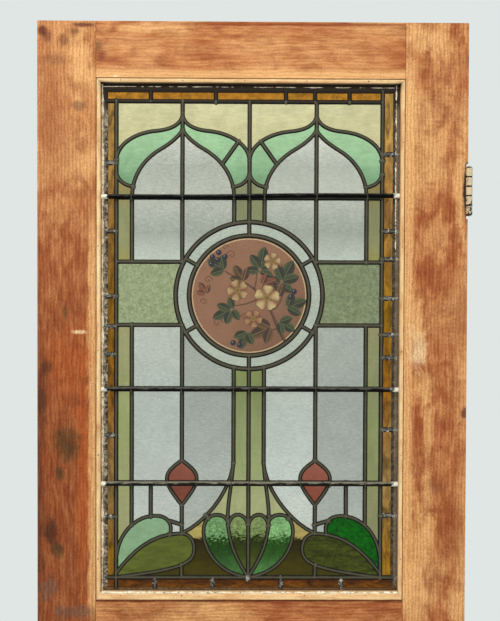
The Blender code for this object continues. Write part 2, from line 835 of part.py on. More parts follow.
def lower_panels(parent):
    """The two flat panels below the lock rail, the blocks of their grooves, and splay cutters."""
    grooves, splays = [], []
    for word, low_x, high_x in (
            ("left", OPENING_LEFT, MUNTIN_LEFT), ("right", MUNTIN_RIGHT, OPENING_RIGHT)):
        block = span(
            (low_x - GROOVE_DEPTH, high_x + GROOVE_DEPTH),
            (MIDDLE_Y - PANEL_THICKNESS / 2, MIDDLE_Y + PANEL_THICKNESS / 2),
            (PANEL_BOTTOM - GROOVE_DEPTH, PANEL_TOP + GROOVE_DEPTH))
        box(f"lower_panel_{word}", *block, parent, pine())
        grooves.append(grown(*block))
        for side, face_y, inward in (("front", FRONT_Y, 1), ("back", BACK_Y, -1)):
            splays.append(splay(
                f"panel_splay_{word}_{side}", (low_x, high_x), (PANEL_BOTTOM, PANEL_TOP),
                face_y, inward, parent))
    return grooves, splays


def bars(parent):
    """Three round bars in front of the leads, and the cutters for their ends."""
    sockets, notches = [], []
    for word, down in zip(("upper", "middle", "lower"), BAR_DOWNS):
        height = on_door(0, down).y
        place = ((OPENING_LEFT + OPENING_RIGHT) / 2, BAR_Y, height)
        reach = OPENING_WIDTH / 2 + BAR_SOCKET
        rods(f"saddle_bar_{word}", [(-reach, reach)], BAR_DIAMETER, BAR_SIDES, place, parent,
             along_x=True, finish=iron())
        sockets.append(rods(
            f"bar_socket_{word}", [(-reach - FIT, reach + FIT)], BAR_DIAMETER + 2 * FIT, BAR_SIDES,
            place, parent, along_x=True))
        half = BAR_DIAMETER / 2 + FIT
        notches.append(span(
            (OPENING_LEFT - OVERCUT, OPENING_RIGHT + OVERCUT),
            (BAR_Y - half, BEAD_BACK_Y + OVERCUT),
            (height - half, height + half)))
    return sockets, boxes("bar_notches", notches, parent)


def beads(notches, parent):
    """Four mitred glazing beads. The one at the foot is taller, and the uprights are notched."""
    x0, x1 = OPENING_LEFT + FIT, OPENING_RIGHT - FIT
    z0, z1 = OPENING_BOTTOM + FIT, OPENING_TOP - FIT
    in_x0, in_x1 = OPENING_LEFT + BEAD_WIDTH, OPENING_RIGHT - BEAD_WIDTH
    in_z0, in_z1 = OPENING_BOTTOM + SILL_BEAD, OPENING_TOP - BEAD_WIDTH
    room = 2 * FIT
    outlines = {
        "glazing_bead_head": [(x0, z1), (in_x0, in_z1), (in_x1, in_z1), (x1, z1)],
        "glazing_bead_foot": [(x0, z0), (x1, z0), (in_x1, in_z0), (in_x0, in_z0)],
        "glazing_bead_left": [
            (x0, z0 + room), (in_x0, in_z0 + room), (in_x0, in_z1 - room), (x0, z1 - room)],
        "glazing_bead_right": [
            (x1, z0 + room), (x1, z1 - room), (in_x1, in_z1 - room), (in_x1, in_z0 + room)],
    }
    middle_y = BEAD_BACK_Y - BEAD_DEPTH / 2
    for name, outline in outlines.items():
        bead = as_mesh(plate(name, [outline], middle_y, BEAD_DEPTH, parent, pine()))
        if name in ("glazing_bead_left", "glazing_bead_right"):
            combine(bead, notches)


def housing_blocks():
    """The hinge leaves' seats in the door's edge."""
    x = (EDGE_X - LEAF_THICKNESS - FIT, EDGE_X + OVERCUT)
    y = (FRONT_Y - OVERCUT, FRONT_Y + LEAF_WIDTH + FIT)
    half = HOUSING_HEIGHT / 2
    return [span(x, y, (z - half, z + half)) for z in HINGES.values()]


def glazed_rails(parent):
    """The three rails with their tenons and lips, and the blocks of all the mortises."""
    rails, mortises = [], []
    for name, low_z, high_z, tenon_count in (
            ("top_rail", OPENING_TOP, TOP_Z, 1),
            ("lock_rail", PANEL_TOP, OPENING_BOTTOM, 2),
            ("bottom_rail", BOTTOM_Z, PANEL_BOTTOM, 2)):
        made, holes = rail(name, low_z, high_z, tenon_count, parent)
        rails.append(made)
        mortises += holes
    x = (OPENING_LEFT + FIT, OPENING_RIGHT - FIT)
    head_z = (OPENING_TOP - LIP, OPENING_TOP + OVERCUT)
    foot_z = (OPENING_BOTTOM - OVERCUT, OPENING_BOTTOM + LIP)
    for made, name, z in ((rails[0], "head_lip", head_z), (rails[1], "foot_lip", foot_z)):
        combine(made, lip(name, x, z, parent), "UNION")
    return rails, mortises


def frame(parent):
    """Stiles, rails, muntin, lower panels, bars and beads, each cut for what it holds."""
    (top_rail, lock_rail, bottom_rail), mortises = glazed_rails(parent)
    lock_stile = stile(
        "lock_stile", (LEFT_X, OPENING_LEFT), (OPENING_LEFT - OVERCUT, OPENING_LEFT + LIP), parent)
    hanging_stile = stile(
        "hanging_stile", (OPENING_RIGHT, EDGE_X), (OPENING_RIGHT - LIP, OPENING_RIGHT + OVERCUT),
        parent)
    upright, stub_sockets = muntin(parent)
    grooves, panel_splays = lower_panels(parent)
    sockets, notches = bars(parent)
    beads(notches, parent)
    sight_splay = splay(
        "sight_splay", (OPENING_LEFT + LIP, OPENING_RIGHT - LIP),
        (OPENING_BOTTOM + LIP, OPENING_TOP - LIP), BACK_Y, -1, parent)
    groove_cutter = boxes("grooves", grooves, parent)

    combine(lock_stile, boxes("lock_stile_holes", mortises, parent))
    combine(hanging_stile, boxes("hanging_stile_holes", mortises + housing_blocks(), parent))
    for member in (lock_stile, hanging_stile):
        cut_all(member, [*sockets, groove_cutter, *panel_splays, sight_splay])
    for member in (lock_rail, bottom_rail):
        cut_all(member, [stub_sockets, groove_cutter, *panel_splays])
    cut_all(upright, [groove_cutter, *panel_splays])
    for member in (top_rail, lock_rail):
        combine(member, sight_splay)


def knuckle_spans(first):
    """Every second knuckle of a barrel, from the given one, each a little short of its share."""
    share = LEAF_HEIGHT / KNUCKLES
    low = -LEAF_HEIGHT / 2
    return [(low + i * share + FIT / 2, low + (i + 1) * share - FIT / 2)
            for i in range(first, KNUCKLES, 2)]


def leaf(name, side, first, height, parent):
    """One hinge leaf: a plate that runs into its own knuckles and clears the other leaf's."""
    near = PIN_X + side * LEAF_GAP / 2
    far = near + side * LEAF_THICKNESS
    half = LEAF_HEIGHT / 2
    pin = (PIN_X, PIN_Y, height)
    made = box(name, *span(
        sorted((near, far)), (PIN_Y, FRONT_Y + LEAF_WIDTH), (height - half, height + half)),
        parent, iron())
    others = [(low - FIT, high + FIT) for low, high in knuckle_spans(1 - first)]
    clearance = rods(f"{name}_clearance", others, BARREL_DIAMETER + 4 * FIT, BARREL_SIDES, pin, parent)
    knuckles = rods(
        f"{name}_knuckles", knuckle_spans(first), BARREL_DIAMETER, BARREL_SIDES, pin, parent)
    bore = rods(f"{name}_bore", [(-half - OVERCUT, half + OVERCUT)], PIN_DIAMETER + 2 * FIT,
                BARREL_SIDES, pin, parent)
    combine(made, clearance)
    combine(made, knuckles, "UNION")
    combine(made, bore)
    return made


def hinge_pin(name, height, parent):
    """A turned pin with a button head at each end of the barrel."""
    seat = LEAF_HEIGHT / 2 + FIT
    top = seat + PIN_HEAD_HEIGHT
    radius, head = PIN_DIAMETER / 2, PIN_HEAD_DIAMETER / 2
    upper = [(0, top), (PIN_HEAD_FLAT / 2, top), (head, (top + seat) / 2), (head, seat),
             (radius, seat)]
    profile = upper + [(r, -z) for r, z in reversed(upper)]
    steps = [(i, i + 1) for i in range(len(profile) - 1)]
    mesh = bpy.data.meshes.new(name)
    mesh.from_pydata([(r, 0, z) for r, z in profile], steps, [])
    made = add_object(name, mesh, (PIN_X, PIN_Y, height), parent, iron())
    turn = made.modifiers.new("turn", "SCREW")
    turn.steps = turn.render_steps = BARREL_SIDES
    turn.use_merge_vertices = True
    turn.merge_threshold = FIT / 30
    turn.use_smooth_shade = True
    return made


def empty(name, place):
    made = bpy.data.objects.new(name, None)
    made.location = place
    PARTS.objects.link(made)
    return made


def main():
    """The jamb's pieces stay put, and the door's turn with the empty on the pins' axis."""
    jamb = empty("jamb", (0, 0, 0))
    door = empty("door", (PIN_X, PIN_Y, 0))
    frame(door)
    leaded_light(door)
    for word, height in HINGES.items():
        leaf(f"jamb_leaf_{word}", 1, 0, height, jamb)
        leaf(f"door_leaf_{word}", -1, 1, height, door)
        hinge_pin(f"hinge_pin_{word}", height, jamb)


main()
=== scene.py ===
# %% [markdown]
# # A half-glazed door with a leaded light
#
# This lesson dresses the plain solids of a stripped pine door as the real thing: planed wood with
# worn arrises, a light of coloured glass held in lead, iron bars in front of it and two painted
# butt hinges. Every size is in metres. X runs to the right, Y away from the reader and Z up, and
# the face with the glazing beads looks along -Y. The noise has a fixed seed, so every run of the
# script gives the same door.

# %% Load the frame
import json
from math import ceil, cos, pi, radians, sin

import bmesh
import bpy
import numpy as np
from mathutils import Matrix, Vector, noise
from mathutils.geometry import delaunay_2d_cdt, interpolate_bezier


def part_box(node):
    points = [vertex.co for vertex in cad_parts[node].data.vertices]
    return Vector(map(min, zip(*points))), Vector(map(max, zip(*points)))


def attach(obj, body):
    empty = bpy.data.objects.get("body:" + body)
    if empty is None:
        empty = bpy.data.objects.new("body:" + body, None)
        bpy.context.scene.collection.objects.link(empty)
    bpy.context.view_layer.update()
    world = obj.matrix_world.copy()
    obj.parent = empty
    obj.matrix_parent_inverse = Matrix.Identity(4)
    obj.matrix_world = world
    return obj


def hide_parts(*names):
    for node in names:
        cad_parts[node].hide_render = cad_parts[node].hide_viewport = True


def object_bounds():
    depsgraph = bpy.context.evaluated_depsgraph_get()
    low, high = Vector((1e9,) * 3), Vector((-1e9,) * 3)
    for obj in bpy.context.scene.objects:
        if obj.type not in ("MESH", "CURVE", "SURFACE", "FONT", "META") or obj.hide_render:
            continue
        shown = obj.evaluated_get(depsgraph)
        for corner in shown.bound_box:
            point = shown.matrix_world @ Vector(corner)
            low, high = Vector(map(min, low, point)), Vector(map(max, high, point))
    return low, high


noise.seed_set(1)
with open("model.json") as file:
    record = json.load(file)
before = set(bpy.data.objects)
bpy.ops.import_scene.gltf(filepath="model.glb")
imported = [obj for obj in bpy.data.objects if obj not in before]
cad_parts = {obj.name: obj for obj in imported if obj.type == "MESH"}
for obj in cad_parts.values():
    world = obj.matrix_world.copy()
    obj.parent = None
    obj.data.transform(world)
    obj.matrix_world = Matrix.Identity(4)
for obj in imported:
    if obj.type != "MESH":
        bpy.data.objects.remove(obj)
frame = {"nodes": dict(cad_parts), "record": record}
cad_box = [list(corner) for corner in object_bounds()]
print("solids reach from", cad_box[0], "to", cad_box[1])

# %% [markdown]
# The camera comes first, because everything that is judged by eye is judged through it. The
# picture shows the upper half of the door from straight in front, at the height of the glass. It
# is turned a little on all three axes: a hand that holds a camera is never quite level.

# %% Camera
CAMERA_PLACE, FIELD_OF_VIEW = (-0.4341, -1.8769, -0.1895), 35
HEADING, TILT, ROLL = -0.564, 90 - 1.137, 0.206


def add_camera():
    data = bpy.data.cameras.new("camera")
    data.sensor_fit = "VERTICAL"
    data.angle = radians(FIELD_OF_VIEW)
    camera = bpy.data.objects.new("camera", data)
    bpy.context.scene.collection.objects.link(camera)
    camera.matrix_world = Matrix.Translation(CAMERA_PLACE)
    for degrees, axis in ((HEADING, "Z"), (TILT, "X"), (ROLL, "Z")):
        camera.matrix_world = camera.matrix_world @ Matrix.Rotation(radians(degrees), 4, axis)
    bpy.context.scene.camera = camera


add_camera()

# %% [markdown]
# The light is that of open shade: a pale, even world all round, which is also what shows through
# the glass, and one large soft lamp above and to the left, so that the beads throw a soft shadow.
# A weaker lamp on the right lifts it a little. The view transform is plain, so a colour that is
# worked out here is the colour that shows.

# %% World and lights
WORLD = (0.745, 0.79, 0.775)


def add_lamp(name, size, power, place, aim):
    data = bpy.data.lights.new(name, "AREA")
    data.size = size
    data.energy = power
    lamp = bpy.data.objects.new(name, data)
    lamp.location = place
    lamp.rotation_euler = (Vector(aim) - Vector(place)).to_track_quat("-Z", "Y").to_euler()
    bpy.context.scene.collection.objects.link(lamp)


def add_world():
    world = bpy.data.worlds.new("pale")
    world.use_nodes = True
    world.node_tree.nodes["Background"].inputs["Color"].default_value = (*WORLD, 1)
    bpy.context.scene.world = world
    bpy.context.scene.view_settings.view_transform = "Standard"


add_world()
add_lamp("key", 1.6, 66, (-1.6, -2.2, 2.0), (-0.4, 0, -0.2))
add_lamp("fill", 2.2, 14, (1.8, -2.6, 0.2), (-0.4, 0, -0.4))

# %% [markdown]
# Materials are built from the same few nodes again and again, so these helpers come once. Each
# adds one node, sets or links its sockets, and hands back a wire from its output. Wires can be
# added, subtracted and multiplied like plain numbers, and each such step is one more node. Colours
# are written as they look on a screen, from 0 to 255, and turned into light here.

# %% Material helpers
def linear(r, g, b):
    """A screen colour as amounts of light."""
    return tuple((c / 255 / 12.92) if c < 10 else ((c / 255 + 0.055) / 1.055) ** 2.4
                 for c in (r, g, b))


class Wire:
    """What one output of a node hands on."""

    def __init__(self, node, output=0):
        self.tree, self.socket = node.id_data, node.outputs[output]

    def __add__(self, other):
        return calc("ADD", self, other)

    def __sub__(self, other):
        return calc("SUBTRACT", self, other)

    def __rsub__(self, other):
        return calc("SUBTRACT", other, self)

    def __mul__(self, other):
        return calc("MULTIPLY", self, other)

    def __abs__(self):
        return calc("ABSOLUTE", self)


def plug(node, sockets):
    """Link each socket to a wire, or set it to a value. None leaves it as it is."""
    for name, value in sockets.items():
        if value is None:
            continue
        socket = node.inputs[name]
        if isinstance(value, Wire):
            node.id_data.links.new(value.socket, socket)
        else:
            socket.default_value = (*value, 1)[:4] if socket.type == "RGBA" else value


def add_node(tree, kind, sockets=(), output=0, **settings):
    """A new node with its settings and sockets, as the wire from one of its outputs."""
    made = tree.nodes.new(kind)
    for setting, value in settings.items():
        setattr(made, setting, value)
    plug(made, dict(sockets))
    return Wire(made, output)


def new_material(name, **sockets):
    """A Principled material with constant values on its own sockets, its tree and its shader."""
    made = bpy.data.materials.new(name)
    made.use_nodes = True
    shader = made.node_tree.nodes["Principled BSDF"]
    plug(shader, {socket.replace("_", " "): value for socket, value in sockets.items()})
    return made, made.node_tree, shader


def tree_of(*values):
    """The tree of the first wire among some values."""
    return next(value.tree for value in values if isinstance(value, Wire))


def calc(operation, first, second=None):
    sockets = {0: first, 1: second}
    return add_node(tree_of(first, second), "ShaderNodeMath", sockets, operation=operation)


def place_on(tree, scale=(1, 1, 1), move=(0, 0, 0)):
    """Object coordinates, squashed along the way of the pattern."""
    start = add_node(tree, "ShaderNodeTexCoord", output="Object")
    return add_node(tree, "ShaderNodeMapping", {"Vector": start, "Scale": scale, "Location": move})


def axis_value(tree, axis, of="Object"):
    """One coordinate of the place, or of the normal, as a number."""
    start = add_node(tree, "ShaderNodeTexCoord", output=of)
    return add_node(tree, "ShaderNodeSeparateXYZ", {0: start}, axis)


def carried(tree, name, output="Fac"):
    """A value that the points or faces of the mesh carry."""
    return add_node(tree, "ShaderNodeAttribute", output=output, attribute_name=name)


def cloud(where, scale, detail=2.0, rough=0.5, twist=0.0):
    """Soft noise from 0 to 1."""
    return add_node(where.tree, "ShaderNodeTexNoise", {
        "Vector": where, "Scale": scale, "Detail": detail, "Roughness": rough, "Distortion": twist},
        "Fac")


def ramp(amount, *stops):
    """Colours, or greys, at places between 0 and 1."""
    made = add_node(amount.tree, "ShaderNodeValToRGB", {"Fac": amount})
    band = made.socket.node.color_ramp
    while len(band.elements) < len(stops):
        band.elements.new(0.5)
    if len(stops) == 1:
        band.elements.remove(band.elements[1])
    for element, (place, colour) in zip(band.elements, stops):
        element.position = place
        grey = isinstance(colour, (int, float))
        element.color = (colour,) * 3 + (1,) if grey else (*colour, 1)
    return made


def blend(amount, first, second, mode="MIX"):
    """One colour that gives way to another as the amount grows."""
    sockets = {0: amount, 6: first, 7: second}
    return add_node(tree_of(amount, first, second), "ShaderNodeMix", sockets, 2, data_type="RGBA",
                    blend_type=mode)


def fade(value, start, end):
    """0 at the start and 1 at the end, with a soft step between."""
    return add_node(value.tree, "ShaderNodeMapRange", {
        "Value": value, "From Min": start, "From Max": end}, interpolation_type="SMOOTHSTEP")


def relief(shader, height, depth, strength=1.0):
    """Turn a height pattern into bumps on the surface."""
    plug(shader, {"Normal": add_node(height.tree, "ShaderNodeBump", {
        "Height": height, "Distance": depth, "Strength": strength})})


# %% [markdown]
# A piece is made as a mesh, gets its material, and is then handed over: it rides on a body, and
# the solids that it stands for are hidden. One helper hands over every piece, so none can miss a
# step.

# %% Piece helpers
def mesh_of(name, shape):
    bmesh.ops.recalc_face_normals(shape, faces=shape.faces)
    mesh = bpy.data.meshes.new(name)
    shape.to_mesh(mesh)
    shape.free()
    return mesh


def link(name, mesh, finish=None):
    made = bpy.data.objects.new(name, mesh)
    bpy.context.scene.collection.objects.link(made)
    if finish is not None and finish.name not in mesh.materials:
        mesh.materials.append(finish)
    return made


def drawn(name, points, edges=(), faces=()):
    """An object from plain lists of points, edges and faces."""
    mesh = bpy.data.meshes.new(name)
    mesh.from_pydata(points, edges, faces)
    return link(name, mesh)


def discard(*objects):
    for thing in objects:
        bpy.data.objects.remove(thing, do_unlink=True)


def hand_over(piece, slot, *nodes, body="door"):
    """The piece rides on a body, and the solids it stands for are hidden. The slot is not used."""
    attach(piece, body)
    if nodes:
        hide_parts(*nodes)


def coat(piece, finish):
    """Give a piece its one material."""
    piece.data.materials.clear()
    piece.data.materials.append(finish)


def smooth(piece):
    """Soft shading, but not over edges that turn by more than 40 degrees."""
    piece.data.shade_smooth()
    piece.data.set_sharp_from_angle(angle=radians(40))


def settled(piece):
    """The piece with its modifiers made real."""
    bpy.context.view_layer.update()
    evaluated = piece.evaluated_get(bpy.context.evaluated_depsgraph_get())
    mesh = bpy.data.meshes.new_from_object(evaluated)
    piece.modifiers.clear()
    old = piece.data
    piece.data = mesh
    bpy.data.meshes.remove(old)
    mesh.name = piece.name
    return piece


def block(low, high):
    """A box between two opposite corners, as a shape."""
    shape = bmesh.new()
    bmesh.ops.create_cube(shape, size=1)
    bmesh.ops.scale(shape, vec=[b - a for a, b in zip(low, high)], verts=shape.verts)
    bmesh.ops.translate(shape, vec=[(a + b) / 2 for a, b in zip(low, high)], verts=shape.verts)
    return shape


def span(x, y, z):
    """Two opposite corners of a block, from its reach on each axis."""
    return tuple(zip(x, y, z))


def join_rings(shape, rings, closed=False):
    """Faces between each ring of points and the next, and if closed from the last to the first."""
    for first, second in zip(rings, rings[1:] + (rings[:1] if closed else [])):
        for j, vert in enumerate(first):
            k = (j + 1) % len(first)
            shape.faces.new((vert, first[k], second[k], second[j]))


# %% [markdown]
# The floor is a plain pale sheet that the door stands just above. It ends a little way behind the
# door, so that only the pale world shows through the glass.

# %% Floor
def add_floor():
    z = cad_box[0][2] - 0.001
    corners = [(-2.6, -2.4, z), (1.8, -2.4, z), (1.8, 1.2, z), (-2.6, 1.2, z)]
    floor = drawn("floor", corners, faces=[(0, 1, 2, 3)])
    coat(floor, new_material("floor", Roughness=0.9, Base_Color=(0.72, 0.73, 0.72))[0])


add_floor()

# %% [markdown]
# The main planes and widths are those of the solids. The wood is planed 44 mm thick, and the light
# sits behind the beads, against a lip that is part of the stiles and rails.

# %% Sizes
(LEFT_X, _, BOTTOM_Z), (_, _, TOP_Z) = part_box("lock_stile")
EDGE_X, FRONT_Y, BACK_Y = -0.0043, -0.015, 0.029
LOCK_STILE, HANGING_STILE, TOP_RAIL, LOCK_RAIL, BOTTOM_RAIL = 0.110, 0.119, 0.106, 0.190, 0.230
GLAZED_HEIGHT = 0.9894
OPENING_LEFT, OPENING_RIGHT = LEFT_X + LOCK_STILE, EDGE_X - HANGING_STILE
OPENING_TOP, OPENING_BOTTOM = TOP_Z - TOP_RAIL, TOP_Z - TOP_RAIL - GLAZED_HEIGHT
OPENING_WIDTH, OPENING_MIDDLE = OPENING_RIGHT - OPENING_LEFT, (OPENING_LEFT + OPENING_RIGHT) / 2
PANEL_TOP, PANEL_BOTTOM = OPENING_BOTTOM - LOCK_RAIL, BOTTOM_Z + BOTTOM_RAIL
MUNTIN_LEFT, MUNTIN_RIGHT = (corner[0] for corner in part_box("muntin"))
FIT, LIP, LIP_Y, SPLAY = 0.0003, 0.010, 0.0056, 0.006
BEAD_WIDTH, SILL_BEAD = 0.009, 0.016
BEAD_FRONT_Y, BEAD_BACK_Y = FRONT_Y + 0.001, -0.001
CAME_FRONT_Y, CAME_BACK_Y = -0.0007, 0.0053
GLASS_Y, GLASS_THICKNESS = 0.0023, 0.003
BAR_Y, BAR_DIAMETER = -0.0055, 0.009
PIN_X, PIN_Y = -0.00355, -0.0215
HINGES = {"upper": 0.0, "lower": -1.44}
print("glazed opening", round(OPENING_WIDTH, 4), "by", round(OPENING_TOP - OPENING_BOTTOM, 4))

# %% [markdown]
# Old pine that has been stripped of its paint is never one colour. Fine fibres and coarser grain
# run along the member, pale patches are where the wood was scraped clean, and red ones are where
# the old finish soaked in. Each is a noise of its own size, drawn out along the grain. What sits
# at one spot, a burn, a damp stain or a scrape, is a mark with a ragged outline. A few marks are
# painted shade instead: one beside the upper hinge and one under the foot bead.

# %% Pine
FIBRE = {"Z": (1, 1, 0.17), "X": (0.14, 1, 1)}
GRAIN = {"Z": (1, 1, 0.22), "X": (0.16, 1, 1)}
SOFT = {"Z": (1, 1, 0.7), "X": (0.6, 1, 1)}
RINGS = {"Z": (1, 1, 0.22), "X": (0.22, 1, 1)}
PALE, LIGHT, WARM, DEEP, RED, BURNT, HOUSING_SHADOW, OLIVE, GREY, CREAM, ORANGE, SCORCHED = (
    linear(*shade) for shade in (
        (240, 188, 126), (210, 146, 92), (190, 120, 72), (164, 94, 52), (136, 60, 28), (78, 44, 30),
        (40, 28, 20), (86, 64, 36), (116, 90, 76), (252, 224, 176), (190, 96, 40), (112, 58, 42)))
WHOLE = (1, 1, 1)


def near(rough, x, z, reach_x, reach_z):
    """1 round a spot of the front, and 0 beyond a ragged outline."""
    here = place_on(rough.tree, (1 / reach_x, 0, 1 / reach_z), (-x / reach_x, 0, -z / reach_z))
    far = add_node(rough.tree, "ShaderNodeVectorMath", {0: here}, "Value", operation="LENGTH")
    return fade(far + rough * 2.6, 2.6, 1.6)


def pine(name, along, colours=(PALE, LIGHT, WARM, DEEP), glow=0.5, soak=0.5, seed=0.0, rise=None,
         strips=(), marks=(), chatter=0.0, coarse=1.0, heart=None):
    """Stripped pine. Glow and soak are the shares of pale and of red wood, rise makes it paler
    upwards, strips lighten it along an arris, and chatter is the mark of a scraper across it. The
    heart, given by its middle and half its width, is redder than the wood beside it."""
    made, tree, shader = new_material(name, Roughness=0.6, Specular_IOR_Level=0.12)
    pale, light, warm, deep = colours
    moved, height = (seed, seed * 0.7, seed * 1.3), axis_value(tree, "Z")
    wide = place_on(tree, SOFT[along], (seed * 2, seed, seed * 1.7))
    fibres = cloud(place_on(tree, FIBRE[along], moved), 520, 3, 0.65)
    grain = cloud(place_on(tree, GRAIN[along], moved), 110, 4, 0.55, 0.3)
    across = "X" if along == "Z" else "Z"
    rings = add_node(tree, "ShaderNodeTexWave", {
        "Vector": place_on(tree, RINGS[along], moved), "Scale": 46, "Distortion": 9, "Detail": 3,
        "Detail Scale": 0.7, "Detail Roughness": 0.6}, "Fac", bands_direction=across)
    broad, mottle = cloud(wide, 9, 4, 0.55, 0.4), cloud(wide, 34, 6, 0.62, 0.5)
    speckle = cloud(place_on(tree, WHOLE, moved), 330, 2, 0.6)
    if heart:
        middle, reach = heart
        inside = fade(abs(axis_value(tree, "X") - middle), reach * 1.3, reach * 0.7)
        mottle, broad = mottle + (inside - 0.5) * 0.11, broad - (inside - 0.5) * 0.11
    wood = ramp(grain, (0.32, deep), (0.5, warm), (0.66, light))
    if rise:
        broad = broad - 0.12 + fade(height, *rise) * 0.24
        darker = ramp(fade(height, *rise), (0, (0.64, 0.53, 0.5)), (1, WHOLE))
        wood = blend(1.0, wood, darker, "MULTIPLY")
    wood = blend(fade(broad, 0.56 - 0.3 * glow, 0.9 - 0.3 * glow) * 0.82, wood, pale)
    wood = blend(fade(mottle, 0.56 - 0.3 * soak, 0.88 - 0.3 * soak) * 0.56, wood, RED)
    if chatter:
        lines = cloud(place_on(tree, (0.3, 1, 1)), 190, 2)
        wood = blend(fade(lines, 0.45, 0.6) * (fade(broad, 0.4, 0.6) * chatter), wood, pale)
    for axis, start, end, *below in strips:
        band = fade(axis_value(tree, axis) + (grain - 0.5) * 0.016, start, end)
        band = band * fade(height, OPENING_BOTTOM - 0.06, OPENING_BOTTOM + 0.01)
        if below:
            band = band * fade(height, *below)
        wood = blend(band * 0.75, wood, pale)
    for *spot, colour, strength in marks:
        wood = blend(near(mottle, *spot) * strength, wood, colour)
    for pattern, weak, strong, share in ((fibres, 0.36, 0.58, 0.6), (speckle, 0.36, 0.58, 0.6),
                                         (rings, 0.15, 0.7, 0.5)):
        dark = tuple(1 - share * coarse * loss for loss in (0.32, 0.45, 0.53))
        wood = blend(1.0, wood, ramp(pattern, (weak, dark), (strong, WHOLE)), "MULTIPLY")
    # The value that the beads carry paints shade on them in dark brown: on their sides, on the head
    # bead's underside and in the upper corners.
    plug(shader, {"Base Color": blend(carried(tree, "grime"), wood, linear(46, 28, 18))})
    relief(shader, fibres + grain, 0.0006, 0.5)
    return made


def in_metres(*marks):
    """Marks whose place and reach are given in millimetres."""
    return [(*(value / 1000 for value in mark[:4]), *mark[4:]) for mark in marks]


LOCK_MARKS = in_metres(
    (-735, 235, 22, 80, PALE, 0.6), (-730, -540, 14, 260, ORANGE, 0.5),
    (-796, 165, 26, 95, DEEP, 0.6), (-780, 85, 36, 80, DEEP, 0.45),
    (-782, -45, 36, 50, PALE, 0.25), (-806, -360, 14, 60, BURNT, 0.45),
    (-812, -560, 10, 300, BURNT, 0.5), (-760, -330, 50, 80, ORANGE, 0.4),
    (-809, 298, 10, 10, SCORCHED, 0.95), (-748, 297, 12, 9, SCORCHED, 0.65),
    (-728, 309, 26, 5, SCORCHED, 0.9), (-768, 281, 10, 12, SCORCHED, 0.6),
    (-786, 244, 26, 12, SCORCHED, 0.4), (-798, 286, 10, 12, SCORCHED, 0.6),
    (-738, 158, 17, 9, BURNT, 0.5), (-803, -338, 16, 18, BURNT, 0.7),
    (-810, -400, 10, 30, BURNT, 0.6), (-765, -230, 6, 18, OLIVE, 0.6),
    (-763, -483, 24, 32, OLIVE, 0.8), (-777, -536, 10, 14, OLIVE, 0.8),
    (-790, -648, 20, 32, BURNT, 0.85), (-782, -680, 16, 14, OLIVE, 0.8),
    (-799, -752, 20, 22, GREY, 0.65), (-748, -800, 34, 14, GREY, 0.65),
    (-738, -268, 14, 4, CREAM, 0.8))
# Painted shadow: a near black strip at the door's edge beside the upper hinge, in its housing. The
# dark brown mark at the top of the housing is painted shade.
HANGING_MARKS = in_metres(
    (-75, 285, 50, 40, PALE, 0.8), (-14, -230, 18, 70, DEEP, 0.6), (-90, -700, 26, 90, PALE, 0.7),
    (-30, -640, 26, 60, RED, 0.5), (-96, -300, 17, 46, CREAM, 0.75),
    (-96, -245, 10, 60, PALE, 0.6), (-84, -365, 22, 40, PALE, 0.6), (-78, -460, 14, 90, PALE, 0.6),
    (-78, -570, 18, 80, PALE, 0.75), (-95, -780, 30, 60, PALE, 0.6),
    (-55, -520, 22, 60, LIGHT, 0.5), (-68, -85, 36, 55, PALE, 0.4), (-20, -780, 22, 40, PALE, 0.7),
    (-70, 70, 30, 60, PALE, 0.4), (-18, 0, 14, 110, PALE, 0.8), (-60, -560, 26, 20, BURNT, 0.35),
    (-8, -420, 6, 12, BURNT, 0.8), (-3, 246, 6, 14, BURNT, 0.6), (-8.5, -1, 4.2, 66, HOUSING_SHADOW, 0.95),
    (-2, 48, 4, 12, BURNT, 0.9))
TOP_MARKS = in_metres(
    (-300, 312, 330, 4, RED, 0.8), (-703, 270, 10, 14, BURNT, 0.5),
    (-697, 250, 10, 14, SCORCHED, 0.6), (-670, 214, 5, 2, CREAM, 0.9),
    (-120, 306, 24, 6, SCORCHED, 0.6), (-620, 305, 70, 12, PALE, 0.7))
CREAMY = [linear(*shade) for shade in (
    (252, 222, 170), (248, 210, 154), (238, 192, 136), (212, 156, 102))]
STAIN_AND_SHADOW = linear(104, 50, 18)
UPPER_STRIP = ("Z", OPENING_TOP + 0.020, OPENING_TOP + 0.009)
FINISHES = {
    "lock_stile": pine("pine_lock_stile", "Z", glow=0.36, soak=0.5, seed=3.1, rise=(-0.5, 0.25),
                       strips=[("X", OPENING_LEFT - 0.019, OPENING_LEFT - 0.009, 0.04, -0.16)],
                       marks=LOCK_MARKS),
    "hanging_stile": pine("pine_hanging_stile", "Z", glow=0.5, soak=0.46, seed=7.7, chatter=0.16,
                          heart=(OPENING_RIGHT + 0.062, 0.040),
                          strips=[("X", OPENING_RIGHT + 0.019, OPENING_RIGHT + 0.010,
                                   OPENING_TOP + 0.012, OPENING_TOP - 0.012)],
                          marks=HANGING_MARKS),
    "top_rail": pine("pine_top_rail", "X", glow=0.5, soak=0.45, seed=1.9, chatter=0.12,
                     strips=[UPPER_STRIP], marks=TOP_MARKS, coarse=0.7),
    # Painted shadow, partly a stain: a thin dark brown line on the lock rail along the foot bead's
    # lower edge.
    "lock_rail": pine("pine_lock_rail", "X", glow=0.36, soak=0.5, seed=5.2, marks=[
        (OPENING_MIDDLE, OPENING_BOTTOM - 0.0005, 0.6, 0.0032, STAIN_AND_SHADOW, 0.9)]),
    "bottom_rail": pine("pine_bottom_rail", "X", glow=0.35, soak=0.6, seed=9.4),
    "muntin": pine("pine_muntin", "Z", glow=0.45, soak=0.45, seed=4.4),
    "panel": pine("pine_panel", "Z", glow=0.45, soak=0.3, seed=6.6, coarse=0.8),
    "bead_level": pine("pine_bead_level", "X", CREAMY, 0.7, 0.12, 2.2, coarse=0.45),
    "bead_upright": pine("pine_bead_upright", "Z", CREAMY, 0.6, 0.15, 8.8, coarse=0.45),
}
print(len(FINISHES), "pine finishes")

